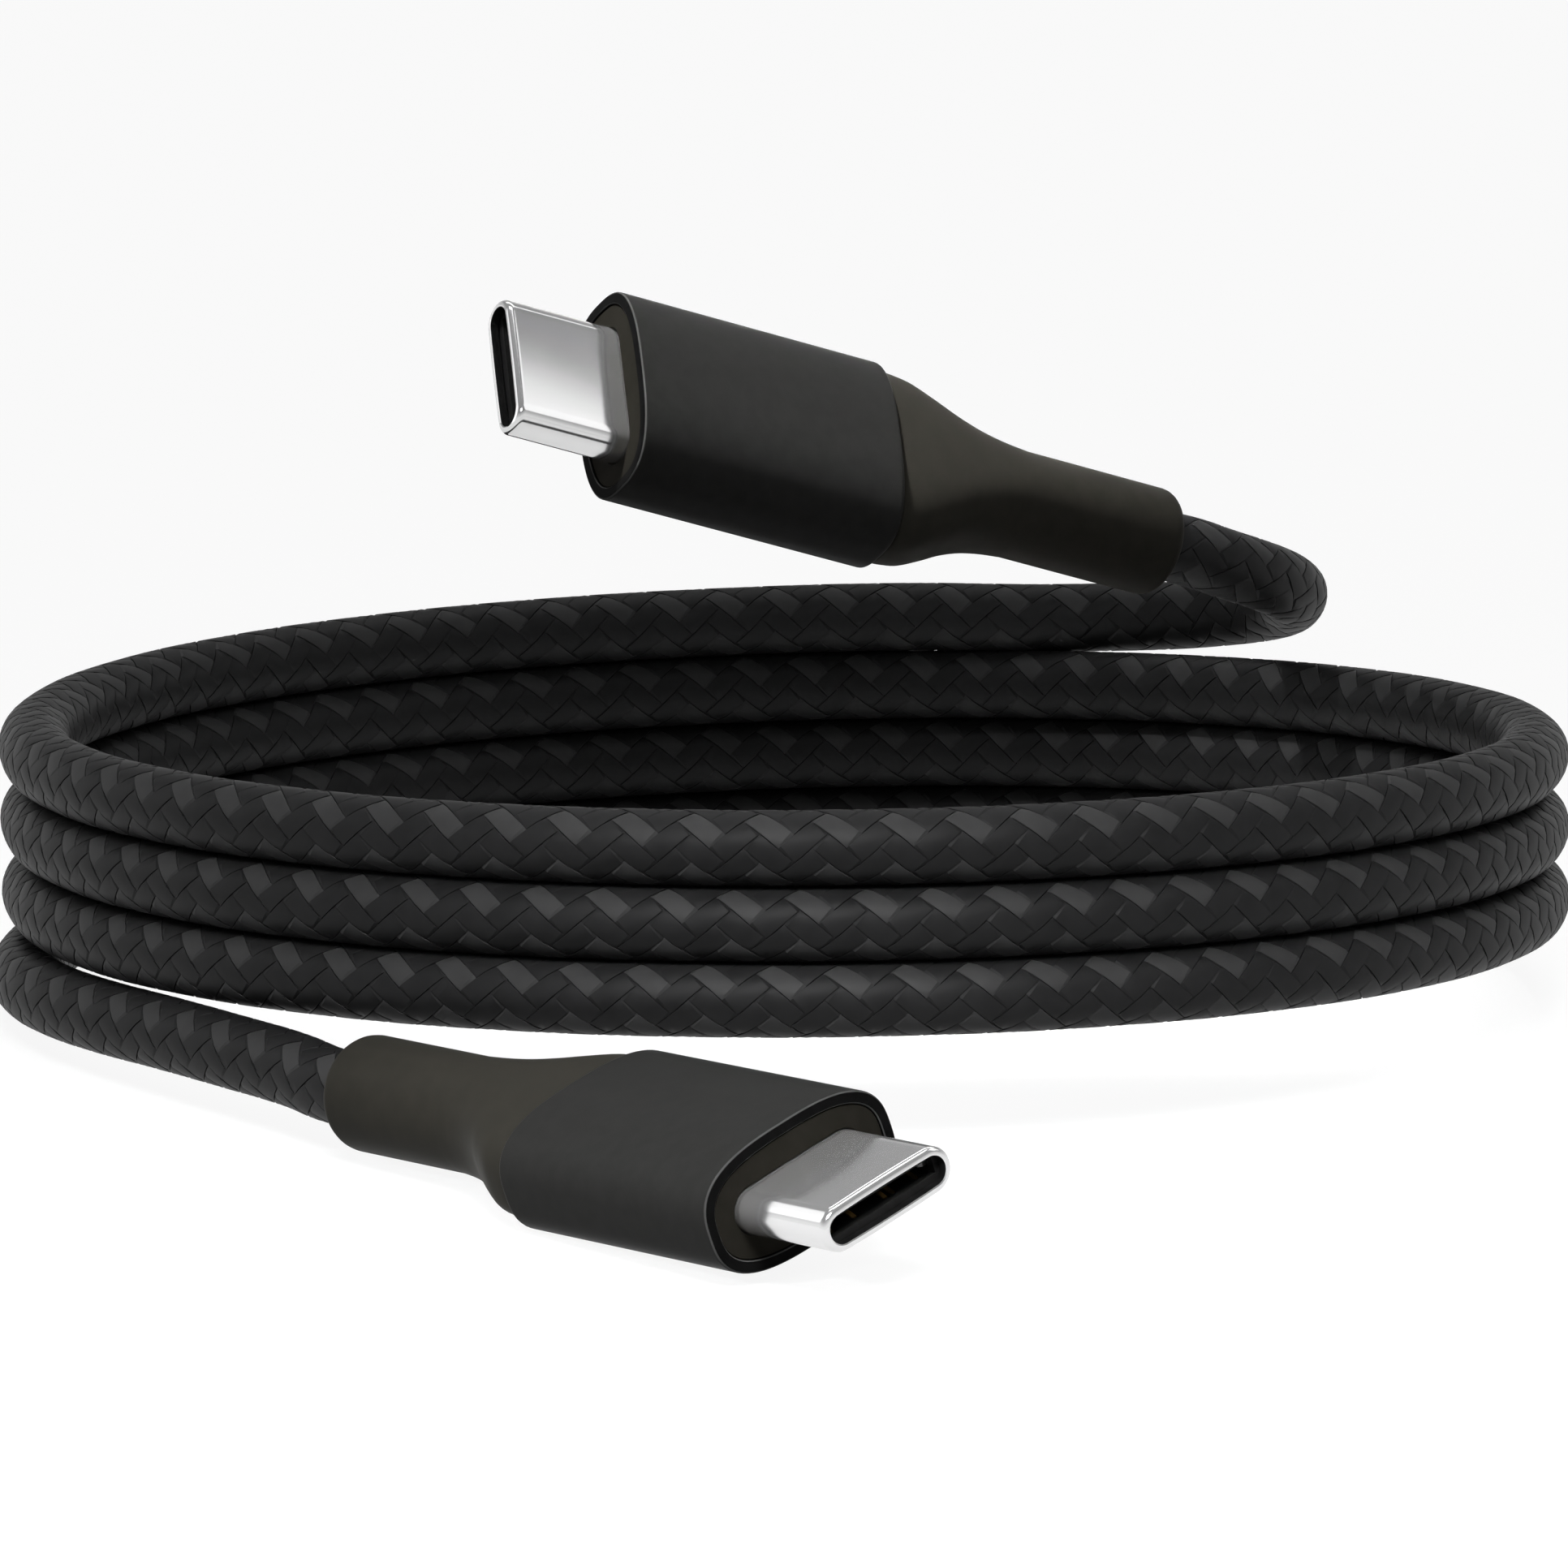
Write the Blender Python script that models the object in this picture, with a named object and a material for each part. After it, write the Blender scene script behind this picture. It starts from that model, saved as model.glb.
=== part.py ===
"""A charging cable, coiled for storage, with a reversible 24-position plug at each end.

Each plug is built once, in a frame of its own: +X points out of the plug's mouth, Y is its
width, Z its thickness, and X = 0 is the front rim of the housing. The function runs twice, and
an empty carries each plug to where it lies. The cable is a coil of three and a quarter turns
with one free stretch to each plug.
"""
import math

import bmesh
import bpy
from mathutils import Euler, Matrix, Vector
from mathutils.geometry import intersect_point_line

MM = 0.001

# ---------------------------------------------------------------- cable
JACKET_DIAMETER = 3.4 * MM      # the solid cable, without the woven sleeve's relief
COIL_RADIUS = 39.5 * MM         # to the cable's centre line
COIL_PITCH = 3.82 * MM          # fall for each turn
COIL_START_DEG = -10.0          # measured from the back of the coil, the way it winds
COIL_END_DEG = 1165.0
COIL_LOOP_POINTS = 24
COIL_CENTRE = Vector((0.2, 17.3, 11.5)) * MM
COIL_FIRST_HEIGHT = 4.0 * MM    # of the first strand at the back, over the coil's centre
COIL_LEAN_BACK_DEG = 2.75
COIL_LEAN_LEFT_DEG = 1.0
END_GAP = 0.3 * MM              # between two lengths of cable that meet end to end
LEAD_SPACING = 3.0 * MM         # between the points of a free stretch
LEAD_STRAIGHT = 2.5 * MM        # a free stretch runs straight for this length at each end

# The free stretches, from their plug to the coil, as points that the cable passes through.
UPPER_LEAD_ROUTE = [
    (23.9, 37.9, 20.0), (26.3, 40.5, 18.8), (27.8, 43.5, 17.7), (28.3, 46.8, 16.6),
    (27.6, 50.0, 15.6), (25.3, 52.6, 14.8), (22.1, 54.1, 14.3), (18.4, 54.7, 14.1),
    (14.8, 55.0, 14.0),
]
LOWER_LEAD_ROUTE = [
    (-24.4, -18.2, 3.4), (-27.9, -13.3, 3.4), (-31.4, -8.2, 3.3), (-34.8, -3.0, 3.1),
    (-37.6, 2.4, 2.9), (-39.2, 7.6, 2.7), (-39.7, 12.6, 2.5),
]

# ---------------------------------------------------------------- where the plugs lie
UPPER_PLUG_PLACE = Vector((-9.0, 20.0, 31.9)) * MM
UPPER_PLUG_ANGLES = (130.0, -17.5, -151.8)     # roll, pitch and yaw in degrees
LOWER_PLUG_PLACE = Vector((0.8, -50.9, 4.7)) * MM
LOWER_PLUG_ANGLES = (20.1, -2.2, -52.0)

# ---------------------------------------------------------------- plug: metal nose
SHELL_WIDTH = 8.25 * MM
SHELL_HEIGHT = 2.40 * MM
SHELL_WALL = 0.25 * MM
SHELL_REACH = 6.65 * MM         # from the housing's rim to the lip
SHELL_TAIL = 2.4 * MM           # held inside the housing
SHELL_TAIL_STEP = 0.03 * MM     # the held tail is this much smaller all round
SHELL_TAIL_FRONT = 0.05 * MM    # where the tail starts, just ahead of the housing's rim
LIP_ROLL = 0.20 * MM
FIT = 0.05 * MM                 # clearance of a pressed or moulded fit inside the nose

# ---------------------------------------------------------------- plug: nose insides
MOUTH_WIDTH = 6.85 * MM         # the slot that takes the socket's tongue
MOUTH_HEIGHT = 0.84 * MM
MOUTH_DEPTH = 5.15 * MM
INSULATOR_SETBACK = 0.60 * MM   # from the shell's lip to the insulator's nose
INSULATOR_LENGTH = 5.75 * MM
CARRIER_LENGTH = 2.4 * MM
CARRIER_GAP = 0.10 * MM

CONTACT_PITCH = 0.5 * MM
CONTACT_WIDTH = 0.25 * MM
CONTACT_THICKNESS = 0.12 * MM
CONTACT_HEIGHT = 0.46 * MM      # of the beam's inner face over the plug's middle plane
CONTACT_TIP_DROP = 0.25 * MM    # how far the tip bows in to meet the tongue
CONTACT_TAIL = 3.6 * MM         # behind the housing's rim, over the circuit board
CONTACT_TIP_SETBACK = 0.75 * MM     # from the insulator's nose to the contact's end
CONTACT_CREST = 0.5 * MM        # from the contact's end back to the tip's deepest point
CONTACT_BOW = 1.05 * MM         # from the contact's end back to where the tip starts to bow
CONTACT_SLACK = 0.055 * MM      # each side of a contact in its groove
NOSE_BAR = 0.50 * MM            # the insulator's solid nose, ahead of the grooves
WINDOW_START = 2.2 * MM         # the grooves are open outward from here
CHANNEL_ROOF = 0.74 * MM
CUT_PAST = 1.0 * MM             # how far a cut runs past the face that it opens
# Positions across the plug, 1 to 12, that hold a contact in each row.
UPPER_ROW = {"ground_a1": 1, "power_a4": 4, "control_a5": 5, "power_a9": 9, "ground_a12": 12}
LOWER_ROW = {"ground_b12": 1, "power_b9": 4, "control_b5": 8, "power_b4": 9, "ground_b1": 12}

LATCH_THICKNESS = 0.24 * MM
LATCH_WIDTH = 0.32 * MM
LATCH_INNER = 3.30 * MM         # from the plug's middle to the arm's inner edge
LATCH_HOOK = 0.16 * MM          # how far the hook stands in from the arm
# Where the hook rises, where it is full and where it falls, back from the arm's front end.
LATCH_HOOK_PLACES = (0.9 * MM, 0.5 * MM, 0.2 * MM)
LATCH_ROOT = 0.25 * MM          # from the arm's back end to the line it bends about
LATCH_SLACK = 0.07 * MM         # above and below the arm in its side slot

SPRING_THICKNESS = 0.10 * MM
SPRING_WIDTH = 6.0 * MM
SPRING_LENGTH = 1.7 * MM
SPRING_RECESS = 0.15 * MM       # cut into the insulator's faces
SPRING_FINGERS = 4
SPRING_ROOT_SHARE = 0.35        # of its length, the strip that joins the fingers
SPRING_FINGER_SHARE = 0.6       # of the fingers' spacing, one finger's width

# ---------------------------------------------------------------- plug: housing
HOUSING_WIDTH = 11.9 * MM
HOUSING_HEIGHT = 6.5 * MM
HOUSING_LENGTH = 16.4 * MM
HOUSING_WALL = 0.6 * MM
HOUSING_POWER = 2.85            # how square the oval is: 2 is an ellipse
HOUSING_EDGE = 0.25 * MM
BEZEL_SETBACK = 0.25 * MM
BEZEL_THICKNESS = 1.1 * MM
SEAT_GAP = 0.05 * MM            # between the housing and what is pressed into it
MOULD_LENGTH = 5.0 * MM

# ---------------------------------------------------------------- plug: circuit
BOARD_WIDTH = 7.8 * MM
BOARD_THICKNESS = 0.8 * MM
BOARD_GAP = 0.30 * MM           # behind the contact carrier, clear of the shell's tail
BOARD_REAR_SPACE = 1.55 * MM    # from the board to the moulded block in the housing's rear
CHIP_SIDE = 2.0 * MM
CHIP_HEIGHT = 0.6 * MM
CAN_WALL = 0.2 * MM
CAN_CLEARANCE = 0.25 * MM       # to the housing's inside
CAN_NECK_LENGTH = 1.4 * MM
CAN_SHOULDER_LENGTH = 1.2 * MM  # from the neck to the full body
CAN_REAR_SPACE = 0.9 * MM       # behind the board
PART_GAP = 0.05 * MM            # under a part that sits on the board
WIRE_GAP = 0.3 * MM
WIRE_LANDING = 1.3 * MM         # how far a wire lies along its pad

FERRULE_LENGTH = 3.0 * MM
FERRULE_WALL = 0.25 * MM
FERRULE_GAP = 0.10 * MM
FERRULE_SETBACK = 0.8 * MM      # the cable's cut end stands out of the ferrule
CABLE_DEPTH = 0.65 * MM         # from the moulded block's front to the cable's cut end
# Conductors: radius, place in the cable's end, place across the board, side of the board.
CONDUCTORS = {
    "power_wire": (0.45 * MM, (0.75 * MM, 0.30 * MM), 2.2 * MM, 1),
    "ground_wire": (0.45 * MM, (-0.75 * MM, 0.30 * MM), -2.2 * MM, 1),
    "control_wire": (0.30 * MM, (0.0, -0.85 * MM), 0.6 * MM, -1),
}

# ---------------------------------------------------------------- plug: strain relief
BOOT_GAP = 0.10 * MM            # behind the housing
BOOT_STEP = 0.35 * MM           # its front edge stands in from the housing's
BOOT_LENGTH = 18.7 * MM
BOOT_TUBE_DIAMETER = 5.9 * MM
BOOT_BORE_GAP = 0.3 * MM        # round the cable
BOOT_END_ROUND = 0.8 * MM
# The flare: the share of its length from the front, the share of width that is left over the
# tube's diameter, and how square the oval still is.
BOOT_FLARE_LENGTH = 9.1 * MM
BOOT_FLARE_MOST = 0.8           # the most of the boot's length that the flare may take
BOOT_EDGE_SHARE = 0.3           # of BOOT_STEP, by which its front edge is rounded
BOOT_ROUND_STEPS = (0.0, 30.0, 60.0, 85.0)     # degrees round its rear edge
BOOT_FLARE = [
    (0.00, 1.00, 2.85), (0.10, 0.97, 2.85), (0.21, 0.89, 2.85), (0.37, 0.63, 2.75),
    (0.52, 0.36, 2.60), (0.68, 0.16, 2.35), (0.84, 0.05, 2.15), (1.00, 0.00, 2.00),
]

RING_POINTS = 40                # round each oval of the housing and strain relief
ARC_POINTS = 8                  # round each end of the metal nose


# ---------------------------------------------------------------- scene and materials
for old in list(bpy.data.objects):
    bpy.data.objects.remove(old, do_unlink=True)

parts = bpy.data.collections.new("charging_cable")
cutters = bpy.data.collections.new("cutters")
bpy.context.scene.collection.children.link(parts)
bpy.context.scene.collection.children.link(cutters)


def principled(name, colour, roughness, metallic=0.0):
    """A material with a Principled surface."""
    material = bpy.data.materials.new(name)
    material.use_nodes = True
    surface = material.node_tree.nodes["Principled BSDF"]
    surface.inputs["Base Color"].default_value = (*colour, 1.0)
    surface.inputs["Roughness"].default_value = roughness
    surface.inputs["Metallic"].default_value = metallic
    return material


BRAID = principled("woven_sleeve", (0.022, 0.022, 0.023), 0.55)
SATIN_BLACK = principled("satin_black_housing", (0.016, 0.016, 0.017), 0.42)
SOFT_BLACK = principled("matte_black_boot", (0.020, 0.019, 0.018), 0.62)
BRIGHT_STEEL = principled("bright_steel", (0.74, 0.73, 0.72), 0.16, 1.0)
SPRING_STEEL = principled("spring_steel", (0.60, 0.60, 0.60), 0.28, 1.0)
GOLD = principled("gold_plate", (0.83, 0.62, 0.27), 0.22, 1.0)
INSULATOR = principled("black_insulator", (0.012, 0.012, 0.012), 0.50)
BOARD_GREEN = principled("circuit_board", (0.03, 0.14, 0.06), 0.45)
CHIP_BLACK = principled("chip_black", (0.02, 0.02, 0.02), 0.40)
MOULD_GREY = principled("inner_mould", (0.30, 0.30, 0.29), 0.55)
WIRE_COLOURS = {
    "power_wire": principled("red_wire", (0.55, 0.03, 0.02), 0.40),
    "ground_wire": principled("black_wire", (0.02, 0.02, 0.02), 0.40),
    "control_wire": principled("blue_wire", (0.03, 0.10, 0.45), 0.40),
}


# ---------------------------------------------------------------- outlines and solids
def oval(width, height, power, count=RING_POINTS):
    """Points of a superellipse, from +Y, counterclockwise as seen from +X."""
    points = []
    for i in range(count):
        angle = 2.0 * math.pi * i / count
        c, s = math.cos(angle), math.sin(angle)
        reach = (abs(2.0 * c / width) ** power + abs(2.0 * s / height) ** power) ** (-1.0 / power)
        points.append((reach * c, reach * s))
    return points


def stadium(width, height):
    """Points of a slot outline with round ends, ARC_POINTS round each end."""
    radius = height / 2.0
    offset = width / 2.0 - radius
    points = []
    for side, first in ((1, -90.0), (-1, 90.0)):
        for i in range(ARC_POINTS + 1):
            angle = math.radians(first + 180.0 * i / ARC_POINTS)
            points.append((side * offset + radius * math.cos(angle), radius * math.sin(angle)))
    return points


def finish_mesh(name, bm, material, parent, smooth_deg=35.0):
    """Make an object of a bmesh, with its faces outward, and hang it on its parent."""
    bmesh.ops.recalc_face_normals(bm, faces=bm.faces)
    mesh = bpy.data.meshes.new(name)
    bm.to_mesh(mesh)
    bm.free()
    mesh.materials.append(material)
    mesh.shade_smooth()
    mesh.set_sharp_from_angle(angle=math.radians(smooth_deg))
    obj = bpy.data.objects.new(name, mesh)
    parts.objects.link(obj)
    obj.parent = parent
    return obj


def loft(name, rings, material, parent, hollow=False):
    """Join rings of equal count, each a place along X and an outline, into one closed solid.

    A hollow loft runs forward along its outside and back along its inside, and its last ring
    joins its first. Any other is closed with a cap at each end.
    """
    bm = bmesh.new()
    loops = [[bm.verts.new((x, y, z)) for y, z in outline] for x, outline in rings]
    pairs = list(zip(loops, loops[1:]))
    if hollow:
        pairs.append((loops[-1], loops[0]))
    for near, far in pairs:
        for i in range(len(near)):
            j = (i + 1) % len(near)
            bm.faces.new((near[i], near[j], far[j], far[i]))
    if not hollow:
        bm.faces.new(loops[0])
        bm.faces.new(loops[-1])
    return finish_mesh(name, bm, material, parent)


def block(name, low, high, material, parent):
    """A box between two corners."""
    bm = bmesh.new()
    bmesh.ops.create_cube(bm, size=1.0)
    size = Vector(high) - Vector(low)
    middle = (Vector(high) + Vector(low)) / 2.0
    bmesh.ops.scale(bm, vec=size, verts=bm.verts)
    bmesh.ops.translate(bm, vec=middle, verts=bm.verts)
    return finish_mesh(name, bm, material, parent)


def plate(name, outline, thickness, material, parent, upright=False):
    """A flat outline with a thickness about its plane: X and Y, or X and Z if upright."""
    curve = bpy.data.curves.new(name, "CURVE")
    curve.dimensions = "2D"
    curve.fill_mode = "BOTH"
    curve.extrude = thickness / 2.0
    spline = curve.splines.new("POLY")
    spline.points.add(len(outline) - 1)
    for point, (x, y) in zip(spline.points, outline):
        point.co = (x, y, 0.0, 1.0)
    spline.use_cyclic_u = True
    curve.materials.append(material)
    obj = bpy.data.objects.new(name, curve)
    parts.objects.link(obj)
    obj.parent = parent
    if upright:
        obj.rotation_euler = Euler((math.radians(90.0), 0.0, 0.0))
    return obj


def tube(name, points, radius, material, parent=None, resolution=2):
    """A solid round bar along points, with flat ends."""
    curve = bpy.data.curves.new(name, "CURVE")
    curve.dimensions = "3D"
    curve.bevel_depth = radius
    curve.bevel_resolution = resolution
    curve.use_fill_caps = True
    spline = curve.splines.new("POLY")
    spline.points.add(len(points) - 1)
    for point, place in zip(spline.points, points):
        point.co = (*place, 1.0)
    spline.use_smooth = True
    curve.materials.append(material)
    obj = bpy.data.objects.new(name, curve)
    parts.objects.link(obj)
    obj.parent = parent
    return obj


def cut(target, boxes):
    """Cut a list of boxes, each two corners, out of a piece."""
    for index, (low, high) in enumerate(boxes):
        cutter = block(f"{target.name}_cut_{index}", low, high, INSULATOR, target.parent)
        parts.objects.unlink(cutter)
        cutters.objects.link(cutter)
        cutter.hide_render = True
        cutter.display_type = "WIRE"
        boolean = target.modifiers.new(f"cut_{index}", "BOOLEAN")
        boolean.operation = "DIFFERENCE"
        boolean.solver = "EXACT"
        boolean.object = cutter


def empty(name, location, parent=None, angles=(0.0, 0.0, 0.0)):
    """An empty that carries pieces; its angles are degrees about X, Y and Z."""
    holder = bpy.data.objects.new(name, None)
    parts.objects.link(holder)
    holder.empty_display_size = 2.0 * MM
    holder.parent = parent
    holder.location = location
    holder.rotation_euler = Euler([math.radians(a) for a in angles])
    return holder


# ---------------------------------------------------------------- plug: metal nose
shell_inner_width = SHELL_WIDTH - 2.0 * SHELL_WALL
shell_inner_height = SHELL_HEIGHT - 2.0 * SHELL_WALL
insulator_front = SHELL_REACH - INSULATOR_SETBACK
insulator_back = insulator_front - INSULATOR_LENGTH
carrier_front = insulator_back - CARRIER_GAP
carrier_back = carrier_front - CARRIER_LENGTH
contact_front = insulator_front - CONTACT_TIP_SETBACK
board_front = carrier_back - BOARD_GAP


def metal_shell(plug, name):
    """The drawn steel nose: an oval tube with a lip rolled in at its mouth."""
    def ring(x, inset):
        return x, stadium(SHELL_WIDTH - 2.0 * inset, SHELL_HEIGHT - 2.0 * inset)
    lip = SHELL_REACH
    return loft(name, [
        ring(-SHELL_TAIL, SHELL_TAIL_STEP),
        ring(SHELL_TAIL_FRONT, SHELL_TAIL_STEP),
        ring(SHELL_TAIL_FRONT + SHELL_TAIL_STEP, 0.0),
        ring(lip - LIP_ROLL, 0.0),
        ring(lip - 0.3 * LIP_ROLL, 0.3 * LIP_ROLL),
        ring(lip, 0.5 * SHELL_WALL + 0.3 * LIP_ROLL),
        ring(lip - 0.3 * LIP_ROLL, SHELL_WALL + 0.4 * LIP_ROLL),
        ring(lip - 1.4 * LIP_ROLL, SHELL_WALL + 0.4 * LIP_ROLL),
        ring(lip - 2.2 * LIP_ROLL, SHELL_WALL),
        ring(-SHELL_TAIL, SHELL_WALL),
    ], BRIGHT_STEEL, plug, hollow=True)


def position_y(position):
    """The place across the plug of one of its twelve contact positions."""
    return (position - 6.5) * CONTACT_PITCH


def contact_rows():
    """Each row's side and its contacts' names and positions."""
    return ((1, UPPER_ROW), (-1, LOWER_ROW))


def span(side, near, far):
    """Two heights on one side of the middle plane, in rising order."""
    return tuple(sorted((side * near, side * far)))


def front_insulator(plug, name):
    """The black nose: a mouth for the tongue, contact grooves, latch slots and spring seats."""
    width = shell_inner_width - 2.0 * FIT
    height = shell_inner_height - 2.0 * FIT
    body = loft(name, [
        (insulator_back, stadium(width, height)), (insulator_front, stadium(width, height)),
    ], INSULATOR, plug)
    boxes = [((insulator_front - MOUTH_DEPTH, -MOUTH_WIDTH / 2.0, -MOUTH_HEIGHT / 2.0),
              (insulator_front + CUT_PAST, MOUTH_WIDTH / 2.0, MOUTH_HEIGHT / 2.0))]
    groove = CONTACT_WIDTH / 2.0 + CONTACT_SLACK
    floor = CONTACT_HEIGHT - CONTACT_SLACK
    groove_front = insulator_front - NOSE_BAR
    for side, row in contact_rows():
        for position in row.values():
            y = position_y(position)
            low, high = span(side, floor, CHANNEL_ROOF)
            boxes.append(((insulator_back - CUT_PAST, y - groove, low),
                          (WINDOW_START, y + groove, high)))
            low, high = span(side, floor, height)
            boxes.append(((WINDOW_START, y - groove, low), (groove_front, y + groove, high)))
        low, high = span(side, height / 2.0 - SPRING_RECESS, height)
        boxes.append(((spring_back() - FIT, -SPRING_WIDTH / 2.0 - FIT, low),
                      (spring_front() + FIT, SPRING_WIDTH / 2.0 + FIT, high)))
    slot = LATCH_THICKNESS / 2.0 + LATCH_SLACK
    for side in (1, -1):
        near, far = span(side, LATCH_INNER - LATCH_HOOK - FIT, width)
        boxes.append(((insulator_back - CUT_PAST, near, -slot), (groove_front, far, slot)))
    cut(body, boxes)
    return body


def contact_carrier(plug, name):
    """The moulded block behind the nose that holds the contacts in open grooves."""
    width = shell_inner_width - 4.0 * FIT
    height = shell_inner_height - 4.0 * FIT
    body = loft(name, [
        (carrier_back, stadium(width, height)), (carrier_front, stadium(width, height)),
    ], INSULATOR, plug)
    groove = CONTACT_WIDTH / 2.0 + CONTACT_SLACK
    boxes = []
    for side, row in contact_rows():
        low, high = span(side, CONTACT_HEIGHT - CONTACT_SLACK, height)
        for position in row.values():
            y = position_y(position)
            boxes.append(((carrier_back - CUT_PAST, y - groove, low),
                          (carrier_front + CUT_PAST, y + groove, high)))
    cut(body, boxes)
    return body


def contact(row_holder, name, side, position):
    """One gold beam, lying along X on its row's side, with a tip bowed in to the tongue."""
    inner, outer = CONTACT_HEIGHT, CONTACT_HEIGHT + CONTACT_THICKNESS
    bow, crest = contact_front - CONTACT_BOW, contact_front - CONTACT_CREST
    outline = [
        (-CONTACT_TAIL, inner), (bow, inner), (crest, inner - CONTACT_TIP_DROP),
        (contact_front, inner), (contact_front, outer), (crest, outer - CONTACT_TIP_DROP),
        (bow, outer), (-CONTACT_TAIL, outer),
    ]
    beam = plate(name, [(x, side * z) for x, z in outline], CONTACT_WIDTH, GOLD, row_holder,
                 upright=True)
    beam.location = Vector((0.0, position_y(position), 0.0)) - row_holder.location
    return beam


def latch_arm(arm_holder, name, side):
    """One side latch: a flat steel arm with a hook at its front that grips the tongue."""
    back, front = insulator_back + FIT, insulator_front - NOSE_BAR - 4.0 * FIT
    inner, outer = LATCH_INNER, LATCH_INNER + LATCH_WIDTH
    hook = inner - LATCH_HOOK
    rise, full, fall = [front - place for place in LATCH_HOOK_PLACES]
    outline = [
        (back, inner), (rise, inner), (full, hook), (fall, hook), (front, inner),
        (front, outer), (back, outer),
    ]
    arm = plate(name, [(x, side * y) for x, y in outline], LATCH_THICKNESS, SPRING_STEEL,
                arm_holder)
    arm.location = -arm_holder.location
    return arm


def spring_front():
    """The front edge of the ground springs, over the insulator's solid nose."""
    return insulator_front - 2.0 * FIT


def spring_back():
    return spring_front() - SPRING_LENGTH


def ground_spring(plug, name, side):
    """A thin comb of steel between the insulator and the shell, its fingers to the back."""
    outline = [(spring_front(), -SPRING_WIDTH / 2.0), (spring_front(), SPRING_WIDTH / 2.0)]
    root = spring_front() - SPRING_ROOT_SHARE * SPRING_LENGTH
    pitch = SPRING_WIDTH / (SPRING_FINGERS - 1.0 + SPRING_FINGER_SHARE)
    finger = SPRING_FINGER_SHARE * pitch
    for i in range(SPRING_FINGERS):
        edge = SPRING_WIDTH / 2.0 - i * pitch
        outline += [(spring_back(), edge), (spring_back(), edge - finger)]
        if i < SPRING_FINGERS - 1:
            outline += [(root, edge - finger), (root, edge - pitch)]
    comb = plate(name, outline, SPRING_THICKNESS, SPRING_STEEL, plug)
    seat = shell_inner_height / 2.0 - FIT - SPRING_RECESS
    comb.location = (0.0, 0.0, side * (seat + FIT / 2.0 + SPRING_THICKNESS / 2.0))
    return comb


# ---------------------------------------------------------------- plug: housing
housing_inner_width = HOUSING_WIDTH - 2.0 * HOUSING_WALL
housing_inner_height = HOUSING_HEIGHT - 2.0 * HOUSING_WALL
seat_width = housing_inner_width - 2.0 * SEAT_GAP
seat_height = housing_inner_height - 2.0 * SEAT_GAP
jacket_radius = JACKET_DIAMETER / 2.0
mould_back = -HOUSING_LENGTH + SEAT_GAP
mould_front = mould_back + MOULD_LENGTH
board_back = mould_front + BOARD_REAR_SPACE
cable_cut = mould_front - CABLE_DEPTH
ferrule_radius = jacket_radius + FERRULE_GAP + FERRULE_WALL
boot_front = -HOUSING_LENGTH - BOOT_GAP
boot_end = boot_front - BOOT_LENGTH


def housing(plug, name):
    """The outer sleeve, with its front rim and rear edge rounded."""
    def ring(x, inset):
        outline = oval(HOUSING_WIDTH - 2.0 * inset, HOUSING_HEIGHT - 2.0 * inset, HOUSING_POWER)
        return x, outline
    rear = -HOUSING_LENGTH
    return loft(name, [
        ring(rear, HOUSING_EDGE),
        ring(rear + 0.3 * HOUSING_EDGE, 0.3 * HOUSING_EDGE),
        ring(rear + HOUSING_EDGE, 0.0),
        ring(-0.6 * HOUSING_EDGE, 0.0),
        ring(-0.15 * HOUSING_EDGE, 0.2 * HOUSING_EDGE),
        ring(0.0, 0.6 * HOUSING_EDGE),
        ring(0.0, HOUSING_WALL),
        ring(rear, HOUSING_WALL),
    ], SATIN_BLACK, plug, hollow=True)


def front_bezel(plug, name):
    """The face plate inside the housing's rim, with a slot for the metal nose."""
    front, back = -BEZEL_SETBACK, -BEZEL_SETBACK - BEZEL_THICKNESS
    plate_outline = oval(seat_width, seat_height, HOUSING_POWER)
    slot = slot_outline(SHELL_WIDTH + 2.0 * FIT, SHELL_HEIGHT + 2.0 * FIT)
    return loft(name, [
        (back, plate_outline), (front, plate_outline), (front, slot), (back, slot),
    ], SATIN_BLACK, plug, hollow=True)


def slot_outline(width, height):
    """A slot with round ends, drawn with as many points as an oval and at like angles."""
    radius = height / 2.0
    offset = width / 2.0 - radius
    points = []
    for y, z in oval(width, height, HOUSING_POWER):
        angle = math.atan2(z, y)
        c, s = math.cos(angle), math.sin(angle)
        if abs(s) > 0.0 and abs(c / s) * radius <= offset:
            reach = radius / abs(s)
        else:
            along = offset * abs(c)
            reach = along + math.sqrt(along * along - offset * offset + radius * radius)
        points.append((reach * c, reach * s))
    return points


def inner_mould(plug, name):
    """The moulded block that fills the housing's rear round the ferrule."""
    outer = oval(seat_width, seat_height, HOUSING_POWER)
    bore = 2.0 * (ferrule_radius + FERRULE_GAP)
    inner = oval(bore, bore, 2.0)
    return loft(name, [
        (mould_back, outer), (mould_front, outer), (mould_front, inner), (mould_back, inner),
    ], MOULD_GREY, plug, hollow=True)


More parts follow.
